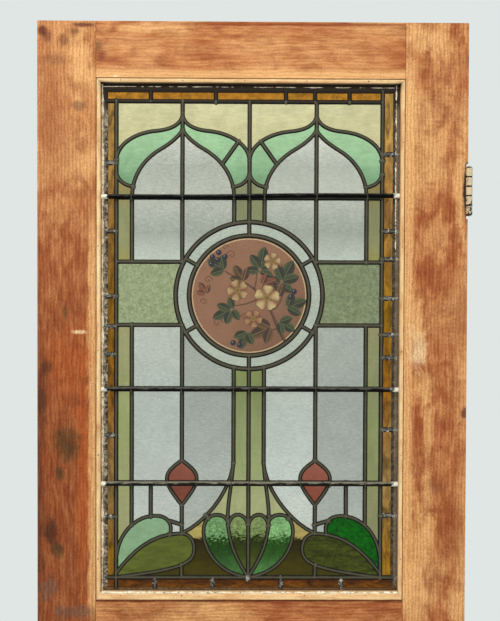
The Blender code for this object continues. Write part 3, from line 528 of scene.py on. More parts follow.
# %% [markdown]
# The members are made from plain blocks, joined and cut like the real ones, and then a bevel takes
# the sharpness off every arris. Only what shows is cut: the tenons stay hidden in their mortises.
# A Boolean is the short way to a lip on a stile, because the lip ends where the rails begin. Shapes
# that are joined or cut overlap by 2 mm, so that no two faces lie in one plane.

# %% Members
JOINED = 0.002


def carve(name, low, high, added=(), cut=(), arris=0.0012):
    """A block with blocks joined on and shapes cut away, and with softened arrises."""
    piece = link(name, mesh_of(name, block(low, high)))
    others = []
    for shapes, operation in ((added, "UNION"), (cut, "DIFFERENCE")):
        for shape in shapes:
            other = link("other", mesh_of("other", shape))
            others.append(other)
            step = piece.modifiers.new("step", "BOOLEAN")
            step.operation, step.solver, step.object = operation, "EXACT", other
    settled(piece)
    discard(*others)
    shape = bmesh.new()
    shape.from_mesh(piece.data)
    bmesh.ops.remove_doubles(shape, verts=shape.verts, dist=1e-6)
    bmesh.ops.dissolve_limit(shape, angle_limit=0.002, verts=shape.verts, edges=shape.edges)
    shape.to_mesh(piece.data)
    shape.free()
    soft = piece.modifiers.new("arris", "BEVEL")
    soft.width, soft.segments, soft.limit_method = arris, 2, "ANGLE"
    soft.angle_limit, soft.harden_normals = radians(35), True
    piece.data.shade_smooth()
    return settled(piece)


def splay(x, z, face_y, inward):
    """A shape that slopes the arris all round an opening."""
    shape = bmesh.new()
    bmesh.ops.create_cube(shape, size=2)
    for vert in shape.verts:
        outside = vert.co.y * inward < 0
        spread = SPLAY + JOINED if outside else -JOINED
        vert.co.x = sum(x) / 2 + vert.co.x * ((x[1] - x[0]) / 2 + spread)
        vert.co.z = sum(z) / 2 + vert.co.z * ((z[1] - z[0]) / 2 + spread)
        vert.co.y = face_y + inward * (-JOINED if outside else SPLAY + JOINED)
    return shape


def panel_splays():
    """Slopes round both lower panels, on both faces."""
    return [splay(x, (PANEL_BOTTOM, PANEL_TOP), face_y, inward)
            for x in ((OPENING_LEFT, MUNTIN_LEFT), (MUNTIN_RIGHT, OPENING_RIGHT))
            for face_y, inward in ((FRONT_Y, 1), (BACK_Y, -1))]


def sight_splay():
    """The slope round the light at the back."""
    sight = (OPENING_LEFT + LIP, OPENING_RIGHT - LIP), (OPENING_BOTTOM + LIP, OPENING_TOP - LIP)
    return [splay(*sight, BACK_Y, -1)]


def housings():
    """The hinge leaves' seats in the door's edge."""
    return [block(*span(HOUSING_X, (FRONT_Y - JOINED, HOUSING_BACK),
                        (z - HOUSING_REACH, z + HOUSING_REACH))) for z in HINGES.values()]


HOUSING_X, HOUSING_BACK, HOUSING_REACH = (-0.0074, 0.002), 0.0153, 0.052
FULL_Z, LIP_Z = (BOTTOM_Z, TOP_Z), (OPENING_BOTTOM + LIP + FIT, OPENING_TOP - LIP - FIT)
INNER_X = (OPENING_LEFT + FIT, OPENING_RIGHT - FIT)
MEMBERS = {
    "lock_stile": ((LEFT_X, OPENING_LEFT), FULL_Z, (sight_splay, panel_splays),
                   ((OPENING_LEFT - JOINED, OPENING_LEFT + LIP), LIP_Z)),
    "hanging_stile": ((OPENING_RIGHT, EDGE_X), FULL_Z, (sight_splay, panel_splays, housings),
                      ((OPENING_RIGHT - LIP, OPENING_RIGHT + JOINED), LIP_Z)),
    "top_rail": (INNER_X, (OPENING_TOP, TOP_Z), (sight_splay,),
                 (INNER_X, (OPENING_TOP - LIP, OPENING_TOP + JOINED))),
    "lock_rail": (INNER_X, (PANEL_TOP, OPENING_BOTTOM), (sight_splay, panel_splays),
                  (INNER_X, (OPENING_BOTTOM - JOINED, OPENING_BOTTOM + LIP))),
    "bottom_rail": (INNER_X, (BOTTOM_Z, PANEL_BOTTOM), (panel_splays,)),
    "muntin": ((MUNTIN_LEFT, MUNTIN_RIGHT), (PANEL_BOTTOM + FIT, PANEL_TOP - FIT), (panel_splays,)),
}
for node, (x, z, cuts, *lips) in MEMBERS.items():
    wood = carve(f"{node}_wood", *span(x, (FRONT_Y, BACK_Y), z),
                 [block(*span(lip_x, (LIP_Y, BACK_Y), lip_z)) for lip_x, lip_z in lips],
                 [shape for shapes in cuts for shape in shapes()])
    coat(wood, FINISHES[node])
    hand_over(wood, "stripped_pine", node)
for node in ("lower_panel_left", "lower_panel_right"):
    coat(bpy.data.objects[node], FINISHES["panel"])
print(len(MEMBERS), "members")

# %% [markdown]
# The glazing beads are thin square strips, mitred at the corners. Each is drawn as a section that
# runs along one side of the opening, and at its ends every point of the section stops on the
# mitre. A bead is worn and a little uneven, so it has a section every 20 mm, each nudged by noise.

# %% Beads
BEAD_STEP, WEAR_SCALE, WEAR, CORNER_SHADE = 0.02, 45, 0.00035, 0.022


def bead_section(side, width):
    """A bead's section as (inwards, depth, painted shade); the head bead is the most shaded."""
    front, back, round_off = BEAD_FRONT_Y, BEAD_BACK_Y, 0.0022
    shaded = {"head": 0.8, "left": 0.15, "foot": 0.05}.get(side, 0.45)
    rounded = [(width - round_off + round_off * sin(a), front + round_off - round_off * cos(a),
                shaded * (0.3 + 0.7 * sin(a) ** 2)) for a in (0, pi / 6, pi / 3, pi / 2)]
    return [(FIT, back, 1), (FIT, front + 0.0014, 1), (FIT + 0.0008, front + 0.0003, 0.6),
            (FIT + 0.0022, front, 0), *rounded, (width, back - 0.005, shaded), (width, back, 1)]


def bead_ends(side, width, inward):
    """Where a line of the section starts and stops, along the bead."""
    if side in ("head", "foot"):
        cut = max(inward * BEAD_WIDTH / width, FIT)
        return OPENING_LEFT + cut, OPENING_RIGHT - cut
    return (OPENING_BOTTOM + max(inward * SILL_BEAD / width, FIT) + 2 * FIT,
            OPENING_TOP - max(inward, FIT) - 2 * FIT)


def bead(side, width, finish):
    """A mitred bead along one side of the opening."""
    section = bead_section(side, width)
    shape = bmesh.new()
    shade_layer = shape.verts.layers.float.new("grime")
    level = side in ("head", "foot")
    count = ceil((OPENING_WIDTH if level else OPENING_TOP - OPENING_BOTTOM) / BEAD_STEP)
    rings = []
    for i in range(count + 1):
        ring = []
        for inward, y, grime in section:
            low, high = bead_ends(side, width, inward)
            along = low + (high - low) * i / count
            place = Vector({"head": (along, y, OPENING_TOP - inward),
                            "foot": (along, y, OPENING_BOTTOM + inward),
                            "left": (OPENING_LEFT + inward, y, along),
                            "right": (OPENING_RIGHT - inward, y, along)}[side])
            if 0 < i < count and inward > FIT and y < BEAD_BACK_Y:
                place += noise.noise_vector(place * WEAR_SCALE) * WEAR
            # Painted shade of the deep corners: there is more of it near the top of the opening,
            # towards the glass.
            off_side = min(place.x - OPENING_LEFT, OPENING_RIGHT - place.x)
            corner = max(OPENING_TOP - place.z, off_side)
            corner_shade = max(0, 1 - corner / CORNER_SHADE) * max(0, 2 * inward / width - 1)
            ring.append(shape.verts.new(place))
            ring[-1][shade_layer] = min(1, grime + corner_shade)
        rings.append(ring)
    join_rings(shape, rings)
    shape.faces.new(rings[0])
    shape.faces.new(rings[-1][::-1])
    piece = link(f"bead_{side}", mesh_of(f"bead_{side}", shape), finish)
    smooth(piece)
    return piece


for side, width, way in (("head", BEAD_WIDTH, "level"), ("foot", SILL_BEAD, "level"),
                         ("left", BEAD_WIDTH, "upright"), ("right", BEAD_WIDTH, "upright")):
    strip = bead(side, width, FINISHES[f"bead_{way}"])
    hand_over(strip, "stripped_pine", f"glazing_bead_{side}")

# %% [markdown]
# The leads follow centre lines that were measured on the real light. Across counts from the middle
# lead to both sides and down counts from the opening's head, in millimetres. Curved leads are
# Bezier stretches, and each end is then brought onto the lead it runs into, as a glazier trims a
# came to meet its neighbour. The sheet reaches a little past the opening on every side, because
# it was drawn as the leads look from in front, past the beads.

# %% Lead layout
SHEET_WIDTH, SHEET_HEIGHT = 584, 987
SHEET_LEFT, SHEET_RIGHT = OPENING_LEFT - 0.0021, OPENING_RIGHT + 0.0024
SHEET_TOP, SHEET_BOTTOM = OPENING_TOP + 0.0031, OPENING_BOTTOM - 0.0021
MIDDLE, BORDER, STRIP, AXIS, INNER, STALK = 289.7, 251.0, 221.6, 126.5, 28.7, 185.3
HEAD_LEAD, FOOT_LEAD, BAR_DOWNS = 44, 945.5, (224, 586.5, 765.5)
SQUARE_TOP, SQUARE_BOTTOM, RING_DOWN = 346, 465.5, 409.5
RING_OUTER, RING_INNER, RING_SPOKES = 139, 113.5, 6
BUD_TOP, BUD_FOOT, SWEEP_TOP, LEAF_JOINT = 722, 808, 728, 861.5
HEAD_CUTS, FOOT_CUTS = (103.5, 226, 358, 413, 478), (112.5, 222, 351.5, 466)
LEFT_CUTS = (160, 288.5, 411, 468, 521, 674.5, 830)
RIGHT_CUTS = (142, 287, 340, 414, 483, 526.5, 663, 827)
CAME_FACE, RING_CAME_FACE, EDGE_CAME_FACE = 0.0085, 0.0095, 0.0175
EDGE_SIDE, EDGE_HEAD, EDGE_FOOT, CURVE_TURN = 0.0035, 0.007, -0.003, radians(7)
FIRST, LAST, SPRING, FLOWER_JOINT = MIDDLE - BORDER, MIDDLE + BORDER, 222, 828


def on_door(across, down):
    """World X and Z of a point of the drawing sheet."""
    return Vector((SHEET_LEFT + across / SHEET_WIDTH * (SHEET_RIGHT - SHEET_LEFT),
                   SHEET_TOP - down / SHEET_HEIGHT * (SHEET_TOP - SHEET_BOTTOM)))


def on_sheet(x, z):
    """The place on the drawing sheet of a world X and Z."""
    return ((x - SHEET_LEFT) / (SHEET_RIGHT - SHEET_LEFT) * SHEET_WIDTH,
            (SHEET_TOP - z) / (SHEET_TOP - SHEET_BOTTOM) * SHEET_HEIGHT)


class Came:
    """A run of lead: its centre line, half its face and its kind."""

    def __init__(self, points, kind="inner", face=CAME_FACE):
        self.line = [on_door(*point) for point in points]
        self.half_face = face / 2
        self.kind = kind


def bezier_line(placed, count_for):
    """Points along Bezier stretches, each given by a knot, two handles and the next knot."""
    points = [placed[0]]
    for i in range(0, len(placed) - 1, 3):
        stretch = placed[i:i + 4]
        points += interpolate_bezier(*stretch, count_for(stretch))[1:]
    return points


def points_for_turn(stretch):
    """More points where a stretch turns more."""
    ways = [b - a for a, b in zip(stretch, stretch[1:]) if (b - a).length > 0]
    turn = sum(a.angle(b) for a, b in zip(ways, ways[1:]))
    return max(6, ceil(turn / CURVE_TURN)) + 1


def swept(side, *knots, centre=0):
    """A Bezier line whose knots and handles are given as offsets to one side."""
    placed = [Vector((MIDDLE + side * (centre + off), down)) for off, down in knots]
    return bezier_line(placed, points_for_turn)


def level(down, start, end, *more):
    return Came([(start, down), (end, down)], *more)


def upright(across, start, end, *more):
    return Came([(across, start), (across, end)], *more)


def edge_cames():
    """The wide lead round the light, and the border of short strips inside it."""
    half = EDGE_CAME_FACE / 2
    left, head = on_sheet(OPENING_LEFT + EDGE_SIDE + half, OPENING_TOP - EDGE_HEAD - half)
    right, foot = on_sheet(OPENING_RIGHT - EDGE_SIDE - half, OPENING_BOTTOM - EDGE_FOOT + half)
    wide = ("edge", EDGE_CAME_FACE)
    return [
        level(head, left, right, *wide), level(foot, left, right, *wide),
        upright(left, head, foot, *wide), upright(right, head, foot, *wide),
        level(HEAD_LEAD, left, LAST, "head"), upright(LAST, head, FOOT_LEAD),
        level(FOOT_LEAD, left, right), upright(FIRST, HEAD_LEAD, foot),
        *(upright(cut, head, HEAD_LEAD, "head") for cut in HEAD_CUTS),
        *(upright(cut, FOOT_LEAD, foot, "border") for cut in FOOT_CUTS),
        *(level(cut, left, FIRST, "border") for cut in LEFT_CUTS),
        *(level(cut, LAST, right, "border") for cut in RIGHT_CUTS)]


def ring_crossing(off, radius=RING_OUTER):
    return (radius ** 2 - off ** 2) ** 0.5


def middle_cames():
    """The level leads under the bars and at the squares, the middle upright, and the two rings."""
    runs = [level(down, FIRST, LAST, "barred") for down in BAR_DOWNS]
    for down in (SQUARE_TOP, SQUARE_BOTTOM):
        reach = ring_crossing(abs(down - RING_DOWN))
        runs += [level(down, FIRST, MIDDLE - reach), level(down, MIDDLE + reach, LAST)]
    runs += [upright(MIDDLE, HEAD_LEAD, RING_DOWN - RING_OUTER),
             upright(MIDDLE, RING_DOWN + RING_OUTER, FOOT_LEAD)]
    turn = [2 * pi * i / 96 for i in range(97)]
    for radius in (RING_OUTER, RING_INNER):
        points = [(MIDDLE + radius * cos(a), RING_DOWN + radius * sin(a)) for a in turn]
        runs.append(Came(points, "ring", RING_CAME_FACE))
    for i in range(RING_SPOKES):
        a = pi / 6 + 2 * pi * i / RING_SPOKES
        runs.append(Came([(MIDDLE + r * cos(a), RING_DOWN + r * sin(a))
                          for r in (RING_INNER, RING_OUTER)]))
    return runs


def arch_cames(side):
    """One ogee arch: two halves, each with a green band between an outer and an inner lead."""
    tip, inner_tip = 66, 96
    runs = [upright(MIDDLE + side * AXIS, HEAD_LEAD, SQUARE_TOP)]
    for outward, reach, spread in ((1, BORDER - AXIS, STRIP - AXIS), (-1, AXIS, AXIS - INNER)):
        outer = [(0, tip), (0, 86), (20, 97), (50, 99.5), (82, 102), (reach - 2, 120), (reach, 154)]
        under = [(reach, 180), (reach - 4, 194), (spread + 14, 202), (spread, 204)]
        inner = [(0, inner_tip), (4, 108), (24, 124), (40, 133),
                 (68, 149), (spread - 1, 178), (spread, SPRING)]
        runs += [Came(swept(side, *((outward * off, down) for off, down in line), centre=AXIS))
                 for line in (outer, under, inner)]
    runs.append(Came([(MIDDLE + side * (AXIS - 104), 121), (MIDDLE + side * (AXIS - 79), 158)]))
    return runs


def upright_cames(side):
    """The long uprights on one side: beside the border strip, on the arch's axis, by the middle."""
    axis, strip, inner = (MIDDLE + side * off for off in (AXIS, STRIP, INNER))
    return [
        upright(strip, SPRING, SQUARE_TOP), upright(strip, SQUARE_BOTTOM, 846),
        upright(axis, RING_DOWN + ring_crossing(AXIS), BUD_TOP),
        upright(axis, BUD_FOOT, LEAF_JOINT), upright(axis, 924, FOOT_LEAD),
        upright(inner, SPRING, RING_DOWN - ring_crossing(INNER)),
        upright(inner, RING_DOWN + ring_crossing(INNER), SWEEP_TOP),
        upright(MIDDLE + side * STALK, BAR_DOWNS[2], 829)]


def bud_came(side):
    """The closed outline of the red bud on its stem."""
    half = [(0, BUD_TOP), (12, 732), (28.5, 741), (28.5, 757), (28.5, 772), (12, 792),
            (0, BUD_FOOT)]
    right = swept(side, *half, centre=AXIS)
    left = swept(side, *((-off, down) for off, down in half), centre=AXIS)
    return Came(right + left[-2::-1])


def leaf_cames(side):
    """The two leaves at the foot of a stem, and the short lead from the leaf to the stem."""
    top = [(BORDER, 912), (248, 862), (215, 828), (176, 828), (158, 828), (147, 838), (147, 853),
           (147, 858), (148, 863), (151, 868)]
    middle = [(BORDER, 938), (222, 898), (185, 862), (AXIS, LEAF_JOINT)]
    foot = [(AXIS, LEAF_JOINT), (112, 862), (102, 875), (102.5, 893),
            (103, 922), (140, 932), (BORDER, FOOT_LEAD)]
    stub = [(MIDDLE + side * 151, 836), (MIDDLE + side * AXIS, 845)]
    return [Came(swept(side, *line)) for line in (top, middle, foot)] + [Came(stub)]


def flower_cames(side):
    """The sweep from the middle strip to the stem, and one side's petals."""
    sweep = [(INNER, SWEEP_TOP), (33, 775), (75, 838), (AXIS, LEAF_JOINT)]
    lean = [(INNER, SWEEP_TOP), (31, 765), (39, 800), (39, FLOWER_JOINT)]
    fold = [(39, FLOWER_JOINT), (40, 870), (27, 905), (0, FOOT_LEAD)]
    outer = [(39, 838), (44, 822), (85, 816), (85, 858), (85, 893), (58, 938), (0, FOOT_LEAD)]
    inner = [(38, 846), (34, 819), (8, 819), (0, 844)]
    touch = [(MIDDLE + side * 76, 833), (MIDDLE + side * 82, 826)]
    return [Came(touch)] + [Came(swept(side, *line)) for line in (sweep, lean, fold, outer, inner)]


def is_closed(line):
    return (line[0] - line[-1]).length < 1e-7


def nearest_on(line, point):
    """The point of a line that lies nearest to a given one."""
    best = None
    for start, end in zip(line, line[1:]):
        way = end - start
        share = min(max((point - start).dot(way) / way.length_squared, 0.0), 1.0)
        here = start + way * share
        if best is None or (here - point).length < (best - point).length:
            best = here
    return best


def meet(runs):
    """Bring each open end onto the middle of the lead that it runs into."""
    for run in runs:
        if is_closed(run.line):
            continue
        for end in (0, -1):
            found = [nearest_on(other.line, run.line[end]) for other in runs if other is not run]
            closest = min(found, key=lambda point: (point - run.line[end]).length)
            if (closest - run.line[end]).length < CAME_FACE:
                run.line[end] = closest


def all_cames():
    runs = edge_cames() + middle_cames()
    for side in (-1, 1):
        runs += arch_cames(side) + upright_cames(side) + leaf_cames(side) + flower_cames(side)
        runs.append(bud_came(side))
    meet(runs)
    return runs


RUNS = all_cames()
LEAD_LENGTH = sum((b - a).length for run in RUNS for a, b in zip(run.line, run.line[1:]))
print(len(RUNS), "leads,", round(LEAD_LENGTH, 2), "m in all")

# %% [markdown]
# Lead is soft and dull. Fresh from the mill it is bright, but after a few years it is near black
# along its edges, where dirt lies against the glass, and a dark grey on the crown of the face,
# which gets rubbed. The dark edges and the paler crown are partly painted shade and light of the
# rounded face, and faces that look down are painted darker. The attribute called across says how
# far a point lies from the crown. Old cement and paint are left as pale smears, more on the border
# than inside.

# %% Lead and solder
def lead(name, crown, rim, smear, amount, flecks=0.0, shadowed_head_rusty_foot=False):
    """Dull lead: a pale crown, near black rims, painted shade below, pale smears and dark flecks.
    """
    made, tree, shader = new_material(name, Metallic=0.1, Specular_IOR_Level=0.15)
    crown, rim, smear = linear(*crown), linear(*rim), linear(*smear)
    where = place_on(tree)
    mottle, fine = cloud(where, 60, 5, 0.7), cloud(where, 600, 3, 0.6)
    # Painted shade: faces that look down are darker and faces that look up are paler. The dark rims
    # are partly dirt and partly painted shade of the rounded face.
    upwards = axis_value(tree, "Z", "Normal")
    off_crown = abs(carried(tree, "across")) - mottle * 0.5 - upwards * 0.45
    skin = blend(fade(off_crown, -0.05, 0.4), crown, rim)
    pale = fade(cloud(where, 120, 6, 0.75, 0.5), 0.74 - 0.3 * amount, 0.86 - 0.22 * amount)
    if shadowed_head_rusty_foot:
        height, head, foot = axis_value(tree, "Z"), on_door(0, HEAD_LEAD).y, OPENING_BOTTOM
        # Painted shadow of the head bead: the edge lead turns near black just under the head. At
        # the foot it turns rusty brown.
        skin = blend(fade(height, head - 0.020, head + 0.004) * 0.9, skin, linear(34, 25, 18))
        rusty = fade(height, foot + 0.026, foot + 0.022) * 0.8
        skin = blend(rusty, skin, linear(104, 68, 32))
        pale = pale * fade(height, head - 0.01, head - 0.03)
        pale = pale * fade(axis_value(tree, "X"), OPENING_RIGHT + 0.2, OPENING_LEFT) * (1.0 - rusty)
    skin = blend(pale, skin, smear)
    if flecks:
        skin = blend(fade(cloud(where, 290, 4, 0.7), 0.48, 0.56) * flecks, skin, rim)
    plug(shader, {"Base Color": skin, "Roughness": ramp(fine, (0.2, 0.45), (0.8, 0.65))})
    relief(shader, fine + mottle * 2.0, 0.0005, 0.6)
    return made


RIM = (12, 11, 8)
LEAD = lead("lead_dull", (76, 72, 56), RIM, (116, 110, 90), 0.12)
# The short leads under the head are darker all over than the rest.
HEAD_LEADS = lead("lead_sooty", (46, 38, 28), RIM, (150, 140, 122), 0.2)
EDGE_LEAD = lead("lead_smeared", (112, 96, 76), (50, 40, 28), (190, 174, 148), 1.0, 0.25, True)
BORDER_LEAD = lead("lead_border", (98, 94, 84), (34, 31, 26), (232, 228, 214), 0.8, 0.8)
JOINT = lead("solder_dull", (84, 80, 66), RIM, (156, 152, 138), 0.3)
SOLDER = lead("solder", (156, 155, 146), RIM, (240, 237, 228), 0.7, 0.7)

# %% [markdown]
# A came is a lead strip of H section: two rounded faces with a heart between them, and the glass
# slides in from both sides. The centre lines are drawn as a flat mesh of edges, and Geometry
# Nodes turn them into curves, sweep the section along them, let a slow noise nudge the metal, and
# stand the result up. The same tree makes the wide edge came from its own face width. The nodes
# that more than one tree needs are helpers.

# %% Came tree
def flow(name, **inputs):
    """An empty Geometry Nodes tree with named inputs, and a wire from each of them."""
    tree = bpy.data.node_groups.new(name, "GeometryNodeTree")
    kinds = {"Geometry": "Geometry", **inputs, "Material": "Material"}
    for label, kind in kinds.items():
        tree.interface.new_socket(label, in_out="INPUT", socket_type=f"NodeSocket{kind}")
    tree.interface.new_socket("Geometry", in_out="OUTPUT", socket_type="NodeSocketGeometry")
    start = tree.nodes.new("NodeGroupInput")
    return tree, {label: Wire(start, label) for label in kinds}


def finish_flow(given, geometry):
    """Real geometry with its material, which every tree ends in."""
    tree = geometry.tree
    real = add_node(tree, "GeometryNodeRealizeInstances", {"Geometry": geometry})
    smooth = add_node(tree, "GeometryNodeSetShadeSmooth", {"Geometry": real})
    done = add_node(tree, "GeometryNodeSetMaterial", {
        "Geometry": smooth, "Material": given["Material"]})
    plug(tree.nodes.new("NodeGroupOutput"), {"Geometry": done})
    return tree


def run_flow(piece, tree, **values):
    """Run a tree on a piece with its inputs set by identifier, and keep the result as a mesh."""
    step = piece.modifiers.new(tree.name, "NODES")
    step.node_group = tree
    for item in tree.interface.items_tree:
        if item.in_out == "INPUT" and item.name in values:
            step[item.identifier] = values[item.name]
    return settled(piece)


def drawn_curve(given, step):
    """The drawn edges as curves, with a point at every step."""
    tree = given["Geometry"].tree
    curve = add_node(tree, "GeometryNodeMeshToCurve", {"Mesh": given["Geometry"]})
    return add_node(tree, "GeometryNodeResampleCurve", {"Curve": curve, "Length": step},
                    mode="LENGTH")


def sweep(curve, section, **more):
    """A section swept along a curve that lies flat, with closed ends."""
    tree = curve.tree
    curve = add_node(tree, "GeometryNodeSetCurveNormal", {"Curve": curve}, mode="Z_UP")
    return add_node(tree, "GeometryNodeCurveToMesh", {
        "Curve": curve, "Profile Curve": section, "Fill Caps": True, **more})


def stand_up(geometry):
    """What lay flat with its depth upwards now faces the reader."""
    return add_node(geometry.tree, "GeometryNodeTransform", {
        "Geometry": geometry, "Rotation": (pi / 2, 0, 0)})


def vectors(operation, first, second=None, scale=None):
    sockets = {0: first, 1: second, "Scale": scale}
    return add_node(first.tree, "ShaderNodeVectorMath", sockets, operation=operation)


def nudge(geometry, amount, scale, detail, seed=None, flat=None):
    """Move every point a little, by noise. Flat says how much of it is left on each axis."""
    settings = {} if seed is None else {"noise_dimensions": "4D"}
    bends = add_node(geometry.tree, "ShaderNodeTexNoise", {
        "W": seed, "Scale": scale, "Detail": detail}, "Color", **settings)
    shift = vectors("SCALE", vectors("SUBTRACT", bends, (0.5, 0.5, 0.5)), scale=amount)
    if flat:
        shift = vectors("MULTIPLY", shift, flat)
    return add_node(geometry.tree, "GeometryNodeSetPosition", {
        "Geometry": geometry, "Offset": shift})


def came_tree():
    tree, given = flow("came", Section="Object", Width="Float", Depth="Float", Step="Float",
                       Wobble="Float", Seed="Float")
    section = add_node(tree, "GeometryNodeObjectInfo", {"Object": given["Section"]}, "Geometry")
    size = add_node(tree, "ShaderNodeCombineXYZ", {
        "X": given["Width"], "Y": given["Depth"], "Z": 1.0})
    place = add_node(tree, "GeometryNodeInputPosition")
    off_middle = add_node(tree, "ShaderNodeSeparateXYZ", {"Vector": place}, "X")
    section = add_node(tree, "GeometryNodeStoreNamedAttribute", {
        "Geometry": section, "Name": "across", "Value": off_middle * 2.0}, data_type="FLOAT",
        domain="POINT")
    section = add_node(tree, "GeometryNodeMeshToCurve", {"Mesh": section})
    section = add_node(tree, "GeometryNodeTransform", {"Geometry": section, "Scale": size})
    strips = sweep(drawn_curve(given, given["Step"]), section)
    return finish_flow(given, stand_up(nudge(strips, given["Wobble"], 28.0, 2.0, given["Seed"])))


def outline(name, points):
    """A closed line as a mesh of edges, for a section."""
    sides = [(i, (i + 1) % len(points)) for i in range(len(points))]
    return drawn(name, [(x, y, 0) for x, y in points], sides)


def came_section(name, heart):
    """The H section of a came, 1 wide and 1 deep: two domed faces with a heart between them."""
    flange, rim, inside = 0.25, 0.2, 0.47
    dome = [(0.5 * cos(a), rim + (0.5 - rim) * sin(a) ** 0.8 if 0 < a < pi else rim)
            for a in (pi * i / 8 for i in range(9))]
    channel = flange - 0.01
    upper = [(heart / 2, channel), (inside, channel), *((x, max(y, flange)) for x, y in dome),
             (-inside, channel), (-heart / 2, channel)]
    return outline(name, upper + [(-x, -y) for x, y in upper])


def line_mesh(name, lines, depth):
    """Centre lines as a flat mesh of edges, lying down with its depth upwards."""
    points, edges = [], []
    for line in lines:
        closed = is_closed(line)
        kept = line[:-1] if closed else line
        first = len(points)
        points += [(x, z, -depth) for x, z in kept]
        edges += [(first + i, first + i + 1) for i in range(len(kept) - 1)]
        if closed:
            edges.append((first + len(kept) - 1, first))
    return drawn(name, points, edges)


def kind_of(run):
    return "curved" if run.kind == "inner" and len(run.line) > 2 else run.kind


CAME_FLOW = came_tree()
NARROW, BROAD = came_section("section_narrow", 0.24), came_section("section_wide", 0.72)
CAME_MIDDLE_Y = (CAME_FRONT_Y + CAME_BACK_Y) / 2
for kind, face, section, finish in (
        ("inner", CAME_FACE, NARROW, LEAD), ("curved", CAME_FACE - 0.0009, NARROW, LEAD),
        ("barred", CAME_FACE + 0.002, NARROW, LEAD), ("ring", RING_CAME_FACE, NARROW, LEAD),
        ("head", CAME_FACE, NARROW, HEAD_LEADS), ("border", CAME_FACE + 0.001, NARROW, BORDER_LEAD),
        ("edge", EDGE_CAME_FACE, BROAD, EDGE_LEAD)):
    name = f"lead_{kind}"
    lines = [run.line for run in RUNS if kind_of(run) == kind]
    piece = run_flow(line_mesh(name, lines, CAME_MIDDLE_Y), CAME_FLOW, Section=section, Width=face,
                     Depth=CAME_BACK_Y - CAME_FRONT_Y, Step=0.006, Wobble=0.0006, Seed=1.0,
                     Material=finish)
    hand_over(piece, "lead", "lead_cames")
    print(name, len(lines), "leads,", len(piece.data.polygons), "faces")
discard(NARROW, BROAD)

# %% [markdown]
# The glass is cut to what the leads leave open. Every stretch of lead is a convex tile, a
# triangulation splits the plane along all tile edges, and the triangles that no tile covers are
# gathered into openings. With the tiles a little narrower than the lead, the same work gives the
# panes, which reach into the channel on all sides. It is longer than cutting by Boolean, but it
# gives clean outlines, one for each pane.

# %% Openings between leads
def strip_tiles(line, half):
    """Convex tiles that cover a line to half its width: a block a stretch, and a kite a bend."""
    ways = [(b - a).normalized() for a, b in zip(line, line[1:])]
    sides = [Vector((-way.y, way.x)) * half for way in ways]
    tiles = [(a - s, b - s, b + s, a + s) for a, b, s in zip(line, line[1:], sides)]
    for i in range(0 if is_closed(line) else 1, len(ways)):
        point, before, after = line[i], ways[i - 1], ways[i]
        turn = before.cross(after)
        if abs(turn) < 1e-5:
            continue
        outside = -half if turn > 0 else half
        first = point + Vector((-before.y, before.x)) * outside
        last = point + Vector((-after.y, after.x)) * outside
        middle = (first + last) / 2 - point
        tip = point + middle * min(half / middle.length, 2.0) ** 2
        kite = (point, first, tip, last)
        tiles.append(kite if turn > 0 else kite[::-1])
    return tiles


def area(loop):
    return abs(sum(a.cross(b) for a, b in zip(loop, loop[1:] + loop[:1]))) / 2


def sides_of(triangle):
    return [(triangle[i], triangle[(i + 1) % 3]) for i in range(3)]


def rim_loop(triangles, points):
    """The longest outline of a group of triangles, without points on straight stretches."""
    sides = {side for triangle in triangles for side in sides_of(triangle)}
    onward = {start: end for start, end in sides if (end, start) not in sides}
    loops = []
    while onward:
        here, loop = next(iter(onward)), []
        while here in onward:
            loop.append(points[here])
            here = onward.pop(here)
        loops.append(loop)
    kept = max(loops, key=area)
    i = 0
    while i < len(kept) and len(kept) > 3:
        way = kept[(i + 1) % len(kept)] - kept[i - 1]
        off_line = abs((kept[i] - kept[i - 1]).cross(way)) / max(way.length, 1e-9)
        if off_line < STRAIGHT:
            kept.pop(i)
            i = max(i - 1, 0)
        else:
            i += 1
    return kept


SMALLEST_PANE, STRAIGHT = 2.5e-5, 0.00003


def pane_outlines(runs, inset):
    """Outlines of what the leads leave open when each half face is narrowed, with a spot inside."""
    tiles = [tile for run in runs for tile in strip_tiles(run.line, run.half_face - inset)]
    points, faces = [], []
    for tile in tiles:
        faces.append([len(points) + i for i in range(len(tile))])
        points += tile
    points, _, triangles, _, _, over = delaunay_2d_cdt(points, [], faces, 0, 1e-7)
    open_ones = [tuple(t) for t, covers in zip(triangles, over) if not covers]
    owner = {side: t for t in open_ones for side in sides_of(t)}
    waiting, found = set(open_ones), []
    while waiting:
        group, front = [], [waiting.pop()]
        while front:
            t = front.pop()
            group.append(t)
            for start, end in sides_of(t):
                other = owner.get((end, start))
                if other in waiting:
                    waiting.remove(other)
                    front.append(other)
        widest = max(group, key=lambda t: area([points[i] for i in t]))
        spot = sum((points[i] for i in widest), Vector((0, 0))) / 3
        loop = rim_loop(group, points)
        if area(loop) > SMALLEST_PANE:
            found.append((loop, spot))
    return found


HALF_HEART = 0.0011
PANES = pane_outlines(RUNS, CAME_FACE / 2 - HALF_HEART)
print(len(PANES), "panes")

# %% [markdown]
# Coloured glass is seen by the light that comes through it, so its colour is a transmission
# colour, given here as the shade that the pale world takes on behind it. Hand-made sheet is never
# even. It has slow streaks, and fine ripples that bend what lies behind, so each kind of glass
# below is given by its shades at some heights of the drawing, and the ripples shift the height
# that is looked up. Low down, the petals and the ground turn dark: that is painted shade of the
# ground behind the light, seen through the glass. Each pane carries a tone of its own as a mesh
# attribute, as offcuts do.

# %% Glass finishes
def through(r, g, b, lost=1.0):
    """The glass colour that makes the pale world behind it look like this screen colour."""
    return tuple(min(max(c - 0.012, 0.0005) / (w * 0.95 * lost), 1.0)
                 for c, w in zip(linear(r, g, b), WORLD))


